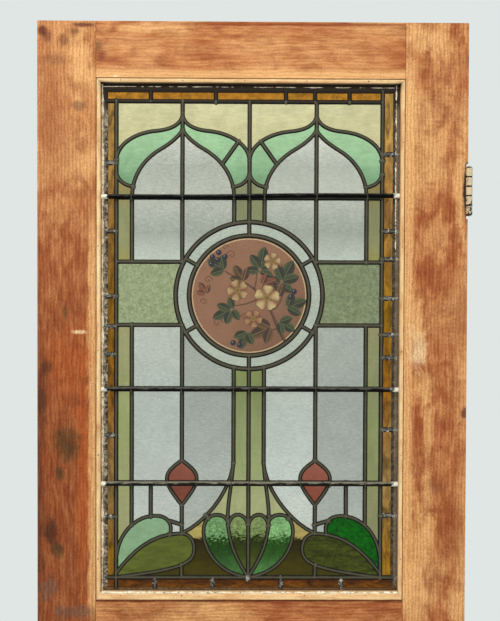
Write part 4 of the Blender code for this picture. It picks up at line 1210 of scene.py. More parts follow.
def sheet_glass(name, *levels, size=60, stretch=(1, 1, 1), streak=0.15, fine=(190, 0.3), wave=0.1,
                bend=0.01, specks=0.0, rough=0.1, depth=0.0008, seed=0.0):
    """Rippled glass. Levels are (height on the drawing, red, green, blue), from the top down."""
    made, tree, shader = new_material(
        f"glass_{name}", Roughness=rough, IOR=1.5, Transmission_Weight=0.95,
        Specular_Tint=(0.3, 0.3, 0.3))
    moved = (seed, seed / 3, seed * 2)
    streaks = cloud(place_on(tree, stretch, moved), size, 4, 0.6, 0.8)
    ripples = cloud(place_on(tree, (fine[1], 1, 1), moved), fine[0], 2, 0.5, 0.7)
    start, end = levels[0][0], max(levels[-1][0], levels[0][0] + 1)
    height = add_node(tree, "ShaderNodeMapRange", {
        "Value": axis_value(tree, "Z") + (ripples - 0.5) * bend,
        "From Min": on_door(0, start).y, "From Max": on_door(0, end).y})
    lost = (1 - 0.5 * streak) * (1 - 0.4 * wave)
    shade = ramp(height, *(((down - start) / (end - start), through(*colour, lost))
                           for down, *colour in levels))
    for pattern, weak, strength in ((streaks, 0.36, streak), (ripples, 0.4, wave)):
        shade = blend(1.0, shade, ramp(pattern, (weak, 1 - strength), (1 - weak, 1.0)), "MULTIPLY")
    if specks:
        cells = add_node(tree, "ShaderNodeTexVoronoi", {"Vector": place_on(tree), "Scale": 330},
                         "Distance")
        dots = fade(cells, 0.32, 0.12) * specks * fade(streaks, 0.42, 0.6)
        shade = blend(dots, shade, tuple(0.25 * c for c in through(*levels[0][1:])))
    shade = blend(1.0, shade, ramp(carried(tree, "tone"), (0.0, 0.0), (1.0, 1.0)), "MULTIPLY")
    plug(shader, {"Base Color": shade})
    relief(shader, ripples + streaks, depth, 0.7)
    return made


WIDE, TALL = (0.3, 1, 1), (1, 1, 0.3)
WHITE = {"size": 26, "streak": 0.08, "fine": (330, 0.4), "wave": 0.16, "bend": 0.03,
         "depth": 0.0012}
OLD = {"size": 40, "stretch": TALL, "wave": 0.06}
WATER = {"fine": (300, 0.5), "bend": 0.075, "depth": 0.0014}
GLASS = {
    "top_light": sheet_glass("pale_yellow", (50, 212, 206, 162), (110, 204, 200, 152), size=25),
    "arch_band": sheet_glass("mint", (90, 166, 206, 160), (130, 160, 198, 154),
        (160, 150, 188, 146), (195, 126, 164, 124), size=30),
    "arch_light": sheet_glass("white_arch", (105, 210, 213, 200), (165, 179, 186, 172),
        (215, 188, 193, 179), (290, 161, 169, 157), (340, 188, 198, 184), **WHITE),
    "outer_light": sheet_glass("white_outer", (470, 184, 192, 180), (640, 178, 188, 178),
        (820, 188, 196, 186), seed=1, **WHITE),
    "inner_light": sheet_glass("white_inner", (540, 184, 192, 179), (650, 180, 190, 180),
        (740, 192, 202, 193), (840, 192, 200, 188), seed=2, **WHITE),
    "ring_light": sheet_glass("white_ring", (300, 177, 187, 172), seed=3, **WHITE),
    "edge_light_upper": sheet_glass("olive_upper", (200, 152, 138, 88), (250, 142, 145, 104),
        (310, 148, 150, 109), (340, 156, 152, 94), seed=20, **OLD),
    "edge_light_lower": sheet_glass("olive_lower", (470, 158, 158, 116), (650, 150, 160, 108),
        (840, 156, 158, 114), seed=4, **OLD),
    "centre_light": sheet_glass("olive_centre", (200, 136, 142, 107), (570, 128, 139, 90),
        (650, 140, 150, 106), (720, 149, 160, 112), (800, 163, 169, 123), seed=5, **OLD),
    "speckled_square": sheet_glass("speckled", (350, 152, 164, 126), size=170, streak=0.45,
        specks=0.75, rough=0.14, depth=0.0016, seed=6),
    "bud": sheet_glass("red", (725, 148, 94, 78), (765, 138, 82, 67), (805, 132, 76, 61), size=40,
        seed=7),
    "upper_leaf_left": sheet_glass("leaf_mint", (820, 137, 171, 133), (900, 133, 166, 127), size=45,
        seed=8),
    "upper_leaf_right": sheet_glass("leaf_green", (820, 24, 92, 20), size=110, streak=0.7, wave=0.3,
        depth=0.0014, seed=9),
    "lower_leaf_left": sheet_glass("leaf_olive", (860, 92, 101, 48), size=90, stretch=WIDE,
        streak=0.3, wave=0.2, depth=0.0014, seed=10),
    "lower_leaf_right": sheet_glass("leaf_dark", (860, 66, 72, 34), size=110, stretch=WIDE,
        streak=0.65, fine=(260, 0.6), wave=0.45, depth=0.0016, seed=11),
    # Below about 870 on the drawing the petals and the ground are painted dark, as painted shade of
    # the ground behind the glass.
    "outer_petal": sheet_glass("petal", (825, 126, 170, 112), (868, 128, 174, 114),
        (872, 40, 70, 30), (900, 52, 88, 42), (940, 84, 128, 74), size=120, stretch=(1, 1, 0.6),
        streak=0.4, wave=0.45, seed=12, **WATER),
    "inner_petal": sheet_glass("petal_inner", (825, 130, 150, 98), (866, 118, 138, 84),
        (870, 42, 50, 20), (900, 64, 72, 34), (945, 92, 100, 56), size=80, streak=0.3, wave=0.4,
        seed=13, **WATER),
    "ground": sheet_glass("ground", (790, 180, 164, 104), (869, 166, 152, 90), (871.5, 50, 44, 12),
        (898, 58, 52, 13), (915, 66, 60, 15), (945, 72, 66, 20), size=70, stretch=WIDE, streak=0.3,
        wave=0.15, bend=0.02, seed=14),
    "border_strip_head": sheet_glass("amber_head", (30, 168, 118, 44), size=80, streak=0.5,
        specks=0.3, seed=15),
    "border_strip_foot": sheet_glass("amber_foot", (948, 80, 46, 10), (962, 106, 66, 20),
        (980, 132, 86, 30), size=110, stretch=WIDE, streak=0.8, fine=(260, 0.3), wave=0.5, seed=16),
    "border_strip": sheet_glass("amber_side", (60, 182, 140, 76), (250, 148, 110, 60),
        (440, 142, 104, 32), (600, 140, 94, 36), (760, 142, 116, 70), (900, 136, 99, 34), size=90,
        stretch=TALL, streak=0.75, specks=0.35, seed=17),
}
TONES = {"outer_light_right": 0.76, "inner_light_left": 0.73, "edge_light_lower_right": 0.78,
         "edge_light_upper_right": 0.87, "speckled_square_right": 0.72, "bud_left": 0.84,
         "border_strip_left": 0.84, "outer_petal_left": 0.8}
print(len(GLASS), "kinds of glass")

# %% [markdown]
# A pane is its outline, 3 mm thick. The solids say which sheet a pane belongs to: a ray from the
# front through the middle of the pane meets one of them first, and the pane takes its name.

# %% Panes
def finish_for(table, node):
    return table[max((key for key in table if node.startswith(key)), key=len)]


def sheet_behind(spot, names):
    """The glass solid that lies behind a spot of the front."""
    for name in names:
        if bpy.data.objects[name].ray_cast((spot.x, -0.5, spot.y), (0, 1, 0))[0]:
            return name
    return None


def add_pane(shape, tone_layer, loop, tone):
    faces_before = len(shape.faces)
    front = [shape.verts.new((x, GLASS_Y - GLASS_THICKNESS / 2, z)) for x, z in loop]
    back = [shape.verts.new((x, GLASS_Y + GLASS_THICKNESS / 2, z)) for x, z in loop]
    shape.faces.new(front)
    shape.faces.new(back[::-1])
    join_rings(shape, [back, front])
    shape.faces.ensure_lookup_table()
    for face in shape.faces[faces_before:]:
        face[tone_layer] = tone


def add_glass():
    glass_nodes = [name for name in frame["nodes"] if any(name.startswith(key) for key in GLASS)
                   or name == "painted_roundel"]
    families = {}
    for loop, spot in PANES:
        name = sheet_behind(spot, glass_nodes)
        if name is not None:
            families.setdefault(name, []).append(loop)
    shades = np.random.default_rng(5)
    for name in sorted(families):
        if name == "painted_roundel":
            continue
        shape = bmesh.new()
        tone_layer = shape.faces.layers.float.new("tone")
        base = next((TONES[key] for key in sorted(TONES, key=len, reverse=True)
                     if name.startswith(key)), 1.0)
        for loop in families[name]:
            add_pane(shape, tone_layer, loop, base * shades.uniform(0.93, 1.0))
        pane = link(f"glass_{name}", mesh_of(name, shape), finish_for(GLASS, name))
        hand_over(pane, SLOT_OF[name], name)
    return families


SLOT_OF = {part["node"]: part["material_slot"] for part in frame["record"]["subparts"]}
FAMILIES = add_glass()
print(sum(len(loops) for loops in FAMILIES.values()), "panes in", len(FAMILIES), "sheets")

# %% [markdown]
# The roundel is painted glass: a tan ground, fired on, with wild roses on a twig. The picture is
# only colour, so it is not modelled in relief. A fine grid of points covers the disc, a few plain
# functions lay twigs, leaves, flowers and fruit over one another, as a painter would from back to
# front, and the result is kept as a colour on every point. The design is made up for this lesson.

# %% Painting helpers
RADIUS = (RING_INNER / SHEET_WIDTH * (SHEET_RIGHT - SHEET_LEFT) - RING_CAME_FACE / 2) * 1000
COVER = 2.65


def turned(u, v, place, angle):
    """The points as seen from a shape's own place and direction."""
    du, dv = u - place[0], v - place[1]
    c, s = cos(radians(angle)), sin(radians(angle))
    return du * c + dv * s, -du * s + dv * c


def soft(distance, edge=0.7):
    """1 inside a shape and 0 outside, over a narrow edge."""
    return np.clip(0.5 - distance / edge, 0, 1)


def lay(paint, mask, colour):
    """Paint a colour over what is there."""
    mask = mask[:, None]
    paint += mask * (np.array(linear(*colour)) - paint)


def stroke(u, v, points, start, end):
    """Distance to a brush stroke through some points, from one half width to another."""
    best = np.full(len(u), 1e3)
    count = len(points) - 1
    for i, (a, b) in enumerate(zip(points, points[1:])):
        a, b = np.array(a, float), np.array(b, float)
        way = b - a
        share = np.clip(((u - a[0]) * way[0] + (v - a[1]) * way[1]) / way.dot(way), 0, 1)
        half = start + (end - start) * (i + share) / count
        off = np.hypot(u - a[0] - share * way[0], v - a[1] - share * way[1])
        best = np.minimum(best, off - half)
    return best


def plain_leaf(paint, u, v, place, size, angle, dark, light, vein):
    """A pointed leaf with a midrib."""
    a, b = turned(u, v, place, angle)
    share = np.clip(a / size, 0, 1)
    half = 0.95 * size * (share * (1 - share)) ** 0.8
    half = half * (0.93 + 0.07 * np.cos(a * 2.2))
    inside = soft(np.abs(b) - half) * (a > 0) * (a < size)
    lay(paint, inside, dark)
    lay(paint, inside * np.clip(b / (half + 0.1), 0, 1) * 0.85, light)
    ribs = soft(np.abs(np.mod(a - np.abs(b) * 1.2, size / 6) - size / 12) - 0.25, 0.7)
    lay(paint, inside * ribs * 0.35, vein)
    lay(paint, soft(np.abs(b) - 0.35, 0.7) * (a > -0.12 * size) * (a < 0.95 * size), vein)


# %% The picture
GREEN = ((36, 42, 26), (86, 96, 58), (126, 128, 82))
BROWN = ((58, 38, 26), (124, 88, 50), (168, 132, 84))
RUST = ((84, 40, 28), (150, 84, 54), (186, 136, 92))
TWIG, TWIG_LIGHT = (56, 36, 26), (132, 92, 60)
FRUIT = (30, 34, 46)


def paint_ground(paint, u, v):
    far = np.hypot(u, v)
    mottled = np.array([noise.noise(Vector((a / 30, b / 22, 0.0))) for a, b in zip(u, v)])
    paint[:] = np.array(linear(154, 108, 80))
    lay(paint, np.clip(0.35 + 0.6 * mottled, 0, 1) * 0.6, (134, 92, 66))
    lay(paint, np.clip((u - v) / 170, 0, 1) * 0.6, (108, 74, 50))
    lay(paint, soft(np.abs(far - (RADIUS - 1.7)) - 0.75, 0.9), (222, 196, 148))


def paint_twigs(paint, u, v):
    """A bough that rises from the lower right, and its side shoots, each with a lit edge."""
    for knots, start, end in (
            (((70, -88), (50, -58), (44, -20), (20, 4), (-2, 26), (-30, 34), (-66, 60)), 3.0, 1.0),
            (((46, -26), (66, -14), (70, 14), (62, 60)), 1.6, 0.7),
            (((24, 0), (6, -16), (-22, -22), (-58, -18)), 1.5, 0.7),
            (((10, 14), (18, 36), (12, 56), (22, 88)), 1.3, 0.6),
            (((56, -60), (34, -74), (4, -72), (-22, -84)), 1.4, 0.6)):
        line = bezier_line([Vector(knot) for knot in knots], lambda stretch: 14)
        lay(paint, soft(stroke(u, v, line, start, end)), TWIG)
        lay(paint, soft(stroke(u - 0.5, v - 0.7, line, start * 0.35, end * 0.3)) * 0.8, TWIG_LIGHT)
    for (x, y), size, way in (((-78, 30), 8, 1), ((-34, 78), 9, -1), ((-60, -52), 10, 1),
                              ((-8, -40), 7, -1), ((-46, 92), 6, 1), ((-86, -12), 7, -1)):
        curl = []
        for t in range(20):
            r = size * (1 - t / 22)
            curl.append((x + way * r * cos(t / 2.6), y + r * sin(t / 2.6)))
        lay(paint, soft(stroke(u, v, curl, 0.6, 0.35)), TWIG)


def paint_leaves(paint, u, v):
    """Leaves in sprays of three or five, as wild rose has, dark ones first."""
    for place, size, angle, count, shades in (
            ((66, 34), 38, 62, 5, GREEN), ((78, -20), 34, 20, 3, GREEN),
            ((22, 58), 36, 78, 5, GREEN), ((36, -62), 38, 205, 3, BROWN),
            ((-40, -30), 32, 205, 5, GREEN), ((-52, 52), 32, 150, 3, GREEN),
            ((-6, -74), 30, 250, 3, GREEN), ((54, 2), 32, 120, 3, BROWN),
            ((-14, 32), 30, 120, 3, BROWN), ((62, -52), 30, 330, 3, GREEN),
            ((-84, 6), 22, 120, 3, RUST), ((28, 22), 26, 20, 3, RUST)):
        for k in range(count):
            side = (k + 1) // 2 * (1 if k % 2 else -1)
            back = 0.16 * size * abs(side)
            root = (place[0] - back * cos(radians(angle)), place[1] - back * sin(radians(angle)))
            plain_leaf(paint, u, v, root, size * (1 - 0.12 * abs(side)), angle + 48 * side, *shades)


def paint_flower(paint, u, v, place, size, angle, pale, deep):
    """A wild rose: five notched petals round a dotted heart."""
    a, b = turned(u, v, place, angle)
    turn, far = np.arctan2(b, a), np.hypot(a, b)
    petal = np.abs(np.cos(2.5 * turn))
    rim = size * (0.68 + 0.36 * petal ** 0.5 - 0.09 * petal ** 14)
    lay(paint, soft(far - rim - 0.8), TWIG)
    lay(paint, soft(far - rim), deep)
    lit = np.clip(petal * 1.3 - 0.25, 0, 1) * np.clip(far / size + 0.2, 0, 1)
    lay(paint, soft(far - rim) * lit, pale)
    lay(paint, soft(far - 0.27 * size), (150, 112, 52))
    dots = soft(np.abs(far - 0.36 * size) - 0.7, 0.8) * (np.cos(17 * turn) > 0)
    lay(paint, dots, (92, 58, 30))
    lay(paint, soft(far - 0.12 * size), (96, 92, 48))


def paint_fruit(paint, u, v):
    for x, y in ((-70, 74), (-58, 82), (-72, 60), (-60, 68), (-46, 74), (86, 8), (80, -2),
                 (-30, -90), (-18, -94)):
        far = np.hypot(u - x, v - y)
        lay(paint, soft(far - 5.4), TWIG)
        lay(paint, soft(far - 4.7), FRUIT)
        lay(paint, soft(np.hypot(u - x + 1.5, v - y - 1.6) - 1.1, 1.0) * 0.8, (168, 164, 150))


def paint_roundel(u, v):
    """Colours of all points, whose places are in millimetres from the middle."""
    paint = np.zeros((len(u), 3))
    paint_ground(paint, u, v)
    paint_twigs(paint, u, v)
    paint_leaves(paint, u, v)
    for place, size, angle, pale, deep in (
            ((34, -4), 24, 12, (204, 178, 126), (140, 98, 60)),
            ((-22, 10), 20, 40, (188, 154, 104), (126, 84, 52)),
            ((44, 66), 16, 5, (190, 160, 112), (130, 90, 56)),
            ((8, -44), 17, 60, (176, 130, 88), (116, 70, 44))):
        paint_flower(paint, u, v, place, size, angle, pale, deep)
    paint_fruit(paint, u, v)
    return paint


# %% The disc
def painted_glass():
    made, tree, shader = new_material("glass_painted", Roughness=0.22, Transmission_Weight=0.3)
    grain = fade(cloud(place_on(tree), 260, 3, 0.6), 0.35, 0.7)
    picture = blend(grain * 0.16, carried(tree, "paint", "Color"), linear(70, 46, 34))
    plug(shader, {"Base Color": picture})
    relief(shader, cloud(place_on(tree), 35, 2), 0.001, 0.5)
    return made


def add_roundel():
    """A disc as two fine grids, front and back, joined round the rim."""
    step, reach = 1.1, RADIUS + COVER
    middle = on_door(MIDDLE, RING_DOWN)
    count = int(reach / step)
    shape = bmesh.new()
    colour_layer = shape.verts.layers.float_color.new("paint")
    row = range(-count, count + 1)
    places = [(i * step, j * step) for i in row for j in row
              if (i * i + j * j) * step * step <= reach * reach]
    colours = paint_roundel(*np.array(places).T)
    corners = {}
    for side, y in ((0, GLASS_Y - GLASS_THICKNESS / 2), (1, GLASS_Y + GLASS_THICKNESS / 2)):
        for (u, v), colour in zip(places, colours):
            vert = shape.verts.new((middle.x + u / 1000, y, middle.y + v / 1000))
            vert[colour_layer] = (*colour, 1)
            corners[side, round(u / step), round(v / step)] = vert
    for (side, i, j), vert in corners.items():
        square = [corners.get((side, i + right, j + up))
                  for right, up in ((0, 0), (1, 0), (1, 1), (0, 1))]
        if all(square):
            shape.faces.new(square if side == 0 else square[::-1])
    rim = [edge for edge in shape.edges if edge.is_boundary]
    bmesh.ops.bridge_loops(shape, edges=rim)
    loose = [vert for vert in shape.verts if not vert.link_faces]
    bmesh.ops.delete(shape, geom=loose, context="VERTS")
    disc = link("glass_roundel", mesh_of("glass_roundel", shape), painted_glass())
    hand_over(disc, "painted_glass", "painted_roundel")
    print("roundel of", len(disc.data.polygons), "faces")


add_roundel()

# %% [markdown]
# Where two leads meet, a drop of solder holds them. Every end of a lead is such a joint, and so is
# every place where two leads cross. The joints are found from the centre lines, and Geometry
# Nodes put a flat drop on each, of a random size and turn, and let noise spoil its outline. On the
# border the drops are large and bright, and inside the light they are small and as dull as lead.

# %% Joints
def crossings(runs):
    """Places where two leads cross."""
    parts = [(index, a, b) for index, run in enumerate(runs)
             for a, b in zip(run.line, run.line[1:])]
    owner = np.array([part[0] for part in parts])
    start = np.array([part[1][:] for part in parts])
    way = np.array([part[2][:] for part in parts]) - start
    found = []
    for i in range(len(parts)):
        off, other = start[i + 1:] - start[i], way[i + 1:]
        turn = way[i][0] * other[:, 1] - way[i][1] * other[:, 0]
        turn[np.abs(turn) < 1e-12] = np.nan
        along = (off[:, 0] * other[:, 1] - off[:, 1] * other[:, 0]) / turn
        across = (off[:, 0] * way[i][1] - off[:, 1] * way[i][0]) / turn
        hit = (along > 0) & (along < 1) & (across > 0) & (across < 1) & (owner[i + 1:] != owner[i])
        found += [Vector(start[i] + way[i] * along[k]) for k in np.nonzero(hit)[0]]
    return found


ONE_JOINT = 0.0045


def joints(runs):
    """One spot for each meeting of leads, with near ones taken as one."""
    spots = crossings(runs)
    spots += [run.line[end] for run in runs if not is_closed(run.line) for end in (0, -1)]
    kept = []
    for spot in spots:
        if all((spot - other).length > ONE_JOINT for other in kept):
            kept.append(spot)
    return kept


def chance(low, high, seed):
    """A random number for each point."""
    return add_node(seed.tree, "FunctionNodeRandomValue", {2: low, 3: high, "Seed": seed}, 1,
                    data_type="FLOAT")


def set_on(given, piece, rotation, scale):
    """A piece on every point."""
    return add_node(piece.tree, "GeometryNodeInstanceOnPoints", {
        "Points": given["Geometry"], "Instance": piece, "Rotation": rotation, "Scale": scale})


def drop_tree():
    """Drops on points: a low ball, of random size and turn, squashed, with a noisy outline."""
    tree, given = flow("drops", Width="Float", Height="Float", Uneven="Float", Seed="Int")
    ball = add_node(tree, "GeometryNodeMeshIcoSphere", {"Radius": 0.5, "Subdivisions": 2}, "Mesh")
    width = given["Width"] * chance(0.75, 1.25, given["Seed"])
    scale = add_node(tree, "ShaderNodeCombineXYZ", {"X": width, "Y": given["Height"], "Z": width})
    turn = add_node(tree, "ShaderNodeCombineXYZ", {"Y": chance(0.0, 2 * pi, given["Seed"])})
    drops = set_on(given, ball, turn, scale)
    drops = add_node(tree, "GeometryNodeRealizeInstances", {"Geometry": drops})
    return finish_flow(given, nudge(drops, given["Uneven"], 260.0, 1.0, flat=(1.0, 0.12, 1.0)))


DROPS, SPOTS, FLOWER_DROP = drop_tree(), joints(RUNS), (0.012, 0.006)
inner_left, inner_right = (on_door(MIDDLE + s * (BORDER + 2), 0).x for s in (-1, 1))
inner_top, inner_foot = on_door(0, HEAD_LEAD - 2).y, on_door(0, FOOT_LEAD + 2).y


def joint_kind(spot):
    """The big drop under the flower, or else the part of the light that the joint lies in."""
    off = abs(spot.x - on_door(MIDDLE, 0).x), abs(spot.y - inner_foot)
    if off[0] < FLOWER_DROP[0] and off[1] < FLOWER_DROP[1]:
        return "flower"
    if inner_left < spot.x < inner_right and inner_foot < spot.y < inner_top:
        return "inner"
    return "head" if spot.y >= inner_top else "border"


for kind, width, uneven, finish in (
        ("inner", 0.0104, 0.0036, JOINT), ("head", 0.0110, 0.004, HEAD_LEADS),
        ("border", 0.0132, 0.006, SOLDER), ("flower", 0.0150, 0.009, SOLDER)):
    chosen = [(s.x, CAME_MIDDLE_Y, s.y) for s in SPOTS if joint_kind(s) == kind]
    drops = run_flow(drawn(f"solder_{kind}", chosen), DROPS, Width=width, Height=0.0067,
                     Uneven=uneven, Seed=3, Material=finish)
    hand_over(drops, "lead", "lead_cames")
    print(kind, len(chosen), "drops")

# %% [markdown]
# Three round iron bars stiffen the light. Their ends are let into the stiles, so the bars reach
# past the beads. They are painted black, which has worn, and old cream paint is left on their
# ends. Their upper sides are painted lighter, as a painted highlight. The lead's own tree draws
# them too, with a round section.

# %% Bars
def bar_paint():
    made, tree, shader = new_material("bar_black", Metallic=0.1, Specular_IOR_Level=0.06)
    worn = cloud(place_on(tree, (0.25, 1, 1)), 240, 4, 0.65)
    low_down = fade(axis_value(tree, "Z"), on_door(0, 480).y, on_door(0, 770).y)
    # Painted highlight: the upper side of each bar, where the normal looks up, is lighter, broken
    # up by wear.
    lit = axis_value(tree, "Z", "Normal") + (worn - 0.5) * 3.0
    skin = blend(low_down, linear(3, 3, 3), linear(26, 23, 19))
    lit_worn_skin = blend(low_down, linear(54, 53, 50), linear(126, 120, 104))
    skin = blend(fade(lit, 0.1, 0.8), skin, lit_worn_skin)
    off_middle = abs(axis_value(tree, "X") - OPENING_MIDDLE) + cloud(place_on(tree), 130, 3) * 0.03
    end = OPENING_WIDTH / 2
    skin = blend(fade(off_middle, end - 0.008, end - 0.001), skin, linear(226, 220, 202))
    plug(shader, {"Base Color": skin, "Roughness": ramp(worn, (0.3, 0.35), (0.7, 0.6))})
    relief(shader, worn, 0.0006, 0.7)
    return made


UPPER_BAR_LIFT, BAR_SOCKET = 0.0038, 0.008


def bar_height(down, x):
    """The upper bar is bent, and its right half lies higher."""
    share = min(max(2 * (x - OPENING_LEFT) / OPENING_WIDTH - 0.5, 0), 1)
    lift = UPPER_BAR_LIFT * share * share * (3 - 2 * share) if down == BAR_DOWNS[0] else 0
    return on_door(0, down).y + lift


BAR_PAINT = bar_paint()
CIRCLE = [(0.5 * cos(pi * i / 10), 0.5 * sin(pi * i / 10)) for i in range(20)]
ROUND = outline("section_round", CIRCLE)
for word, down in zip(("upper", "middle", "lower"), BAR_DOWNS):
    reach = (OPENING_LEFT - BAR_SOCKET, OPENING_RIGHT + BAR_SOCKET)
    line = [Vector((x, bar_height(down, x))) for x in np.linspace(*reach, 25)]
    bar = run_flow(line_mesh(f"bar_{word}", [line], BAR_Y), CAME_FLOW, Section=ROUND,
                   Width=BAR_DIAMETER, Depth=BAR_DIAMETER, Step=0.006, Wobble=0.0005,
                   Seed=down / 100, Material=BAR_PAINT)
    hand_over(bar, "painted_iron", f"saddle_bar_{word}")
discard(ROUND)

# %% [markdown]
# The light is tied to each bar with short wires, soldered to the lead behind, wound round the bar
# and twisted off. One tie is drawn as a ring with a twisted tail, and Geometry Nodes set it on
# every crossing of a bar with an upright lead.

# %% Ties
def tie_mesh():
    """A wire ring round the bar, and its twisted end pressed against the bar's underside."""
    wire, ring, steps, sides = 0.0007, BAR_DIAMETER / 2 + 0.0005, 14, 6
    shape = bmesh.new()
    rows = []
    for a in (2 * pi * i / steps for i in range(steps)):
        middle = Vector((0.0004 * sin(a), ring * cos(a), ring * sin(a)))
        out = Vector((0, cos(a), sin(a)))
        rows.append([shape.verts.new(middle + out * wire * cos(b) + Vector((wire * sin(b), 0, 0)))
                     for b in (2 * pi * k / sides for k in range(sides))])
    join_rings(shape, rows, closed=True)
    knot = bmesh.ops.create_icosphere(shape, subdivisions=1, radius=1)["verts"]
    for vert in knot:
        vert.co = Vector((vert.co.x * 0.0017, vert.co.y * 0.0016 - ring * 0.75,
                          vert.co.z * 0.0026 - ring * 0.85))
    return mesh_of("tie", shape)


def scatter_tree():
    """A made piece on every point, slightly turned and scaled at random."""
    tree, given = flow("scatter", Piece="Object", Axis="Vector", Turn="Float", Spread="Float",
                       Seed="Int")
    piece = add_node(tree, "GeometryNodeObjectInfo", {"Object": given["Piece"]}, "Geometry")
    size = chance(1.0 - given["Spread"], given["Spread"] + 1.0, given["Seed"])
    turn = chance(0.0 - given["Turn"], given["Turn"], given["Seed"])
    turn = vectors("SCALE", given["Axis"], scale=turn)
    return finish_flow(given, set_on(given, piece, turn, size))


SCATTER = scatter_tree()
TIE = link("tie", tie_mesh())
CROSSED = ((-STRIP, -AXIS, -INNER, 0, INNER, AXIS, STRIP),) * 2 + (
    (-STRIP, -AXIS - 28, -AXIS + 28, -33, 0, 33, AXIS - 28, AXIS + 28, STRIP),)
tie_places = []
for down, offs in zip(BAR_DOWNS, CROSSED):
    for x in (on_door(MIDDLE + off, down).x for off in offs):
        tie_places.append((x, BAR_Y, bar_height(down, x)))
ties = run_flow(drawn("bar_ties", tie_places), SCATTER, Piece=TIE, Axis=(0.0, 1.0, 0.0),
                Turn=0.25, Spread=0.12, Seed=4, Material=LEAD)
hand_over(ties, "lead")
discard(TIE)
print(len(tie_places), "ties")

# %% [markdown]
# Glazing putty was pressed between the beads and the wide lead, and what was wiped off in haste
# stayed as an uneven crust, thick on the left and at the foot, and thin under the head. It is a
# line again, this time with a radius that noise makes swell and vanish.

# %% Putty
def putty_finish():
    made, tree, shader = new_material("putty", Roughness=0.85)
    where = place_on(tree)
    plug(shader, {"Base Color": ramp(cloud(where, 180, 5, 0.7), (0.34, linear(128, 106, 78)),
                                     (0.44, linear(216, 196, 162)), (0.58, linear(250, 238, 212)))})
    relief(shader, cloud(where, 500, 4, 0.7), 0.0008, 0.9)
    return made


def crust_tree():
    tree, given = flow("crust", Least="Float", Most="Float", Patch="Float", Wander="Float",
                       Seed="Float")
    curve = nudge(drawn_curve(given, 0.0025), given["Wander"], 120.0, 2.0, given["Seed"])
    patches = add_node(tree, "ShaderNodeTexNoise", {
        "W": given["Seed"], "Scale": given["Patch"], "Detail": 3.0, "Roughness": 0.7}, "Fac",
        noise_dimensions="4D")
    swell = add_node(tree, "ShaderNodeMapRange", {
        "Value": patches, "From Min": 0.42, "From Max": 0.66, "To Min": given["Least"],
        "To Max": given["Most"]})
    ring = add_node(tree, "GeometryNodeCurvePrimitiveCircle", {
        "Resolution": 8, "Radius": 1.0}, "Curve")
    return finish_flow(given, stand_up(sweep(curve, ring, Scale=swell)))


CRUST, PUTTY = crust_tree(), putty_finish()
near_left, near_right = OPENING_LEFT + BEAD_WIDTH + 0.0016, OPENING_RIGHT - BEAD_WIDTH - 0.0010
near_foot, near_head = OPENING_BOTTOM + SILL_BEAD - 0.0004, OPENING_TOP - BEAD_WIDTH - 0.0008
on_lead, half_way = near_right - 0.0055, on_door(0, 330).y
under_head, over_foot = on_door(0, 17).y, near_foot - 0.0010
on_light, on_sill = CAME_FRONT_Y + 0.0004, BEAD_FRONT_Y + 0.0014
for word, start, end, least, most, seed, y in (
        ("left", (near_left, near_foot), (near_left, near_head), 0.0010, 0.0044, 1.0, on_light),
        ("right", (on_lead, half_way), (on_lead, near_head), 0.0002, 0.0024, 2.0, on_light),
        ("head", (near_left, under_head), (near_right, under_head), 0.0001, 0.0013, 4.0, on_light),
        ("foot", (near_left, over_foot), (near_right, over_foot), 0.0013, 0.0030, 3.0, on_sill)):
    line = line_mesh(f"putty_{word}", [[Vector(start), Vector(end)]], y)
    crust = run_flow(line, CRUST, Least=least, Most=most, Patch=42.0, Wander=0.002, Seed=seed,
                     Material=PUTTY)
    hand_over(crust, "stripped_pine")

# %% [markdown]
# Each hinge is two iron leaves that roll up into knuckles round one pin. The door's leaf lies in a
# housing in the door's edge and is held by three countersunk screws, and the other leaf has empty
# holes, since the post it was screwed to is not here. A leaf is a plate joined to its tubes, cut
# clear of the other leaf's knuckles. Layers of cream paint, chipped to the iron, made them lumpy.

# %% Hinges
LEAF_HEIGHT, LEAF_BACK, KNUCKLES, BARREL, PIN = 0.089, 0.015, 5, 0.0122, 0.006
LEAF_OFF_PIN, LEAF_THICKNESS, KNUCKLE_ROOM = 0.00075, 0.0028, 0.0006
SCREW_SPOTS = ((0.006, -0.031), (-0.004, 0.0), (0.006, 0.031))


def chipped_paint(name, height):
    """Thick cream paint on iron, cracked off round the gaps between the knuckles and low down."""
    made, tree, shader = new_material(name, Metallic=0.1, Roughness=0.6)
    where, above = place_on(tree), axis_value(tree, "Z") - (height - LEAF_HEIGHT / 2)
    off_gap = calc("PINGPONG", above, LEAF_HEIGHT / KNUCKLES / 2)
    chips = cloud(where, 170, 5, 0.72, 0.6) + fade(off_gap, 0.0022, 0.0006) * 0.22
    chips = chips + fade(above, 0.04, 0.0) * 0.08
    paint = blend(cloud(where, 420, 4), linear(236, 214, 176), linear(170, 142, 104))
    plug(shader, {"Base Color": blend(fade(chips, 0.55, 0.61), paint, linear(26, 20, 16))})
    relief(shader, chips + cloud(where, 700, 3), 0.0009, 0.8)
    return made


def lathe(profile, place, sides=32, lumps=0.0):
    """A closed profile of (radius, height) turned about an upright axis, with a lumpy outside."""
    shape = bmesh.new()
    rings = []
    for a in (2 * pi * i / sides for i in range(sides)):
        ring = []
        for r, z in profile:
            spot = Vector((r * cos(a), r * sin(a), z)) + Vector(place)
            r += lumps * noise.noise(spot * 260) if r > PIN / 2 + 0.001 else 0
            ring.append(shape.verts.new((place[0] + r * cos(a), place[1] + r * sin(a), spot.z)))
        rings.append(ring)
    join_rings(shape, rings, closed=True)
    return shape


def knuckle(place, low, high):
    """A tube with softened ends, its outside in five steps so that it can be lumpy."""
    bore, out, soft_end = PIN / 2 + FIT, BARREL / 2 - 0.0002, 0.0005
    profile = [(bore, low), (out - soft_end, low), (out, low + soft_end)]
    profile += [(out, low + (high - low) * i / 5) for i in range(1, 5)]
    profile += [(out, high - soft_end), (out - soft_end, high), (bore, high)]
    return lathe(profile, place, lumps=0.0004)


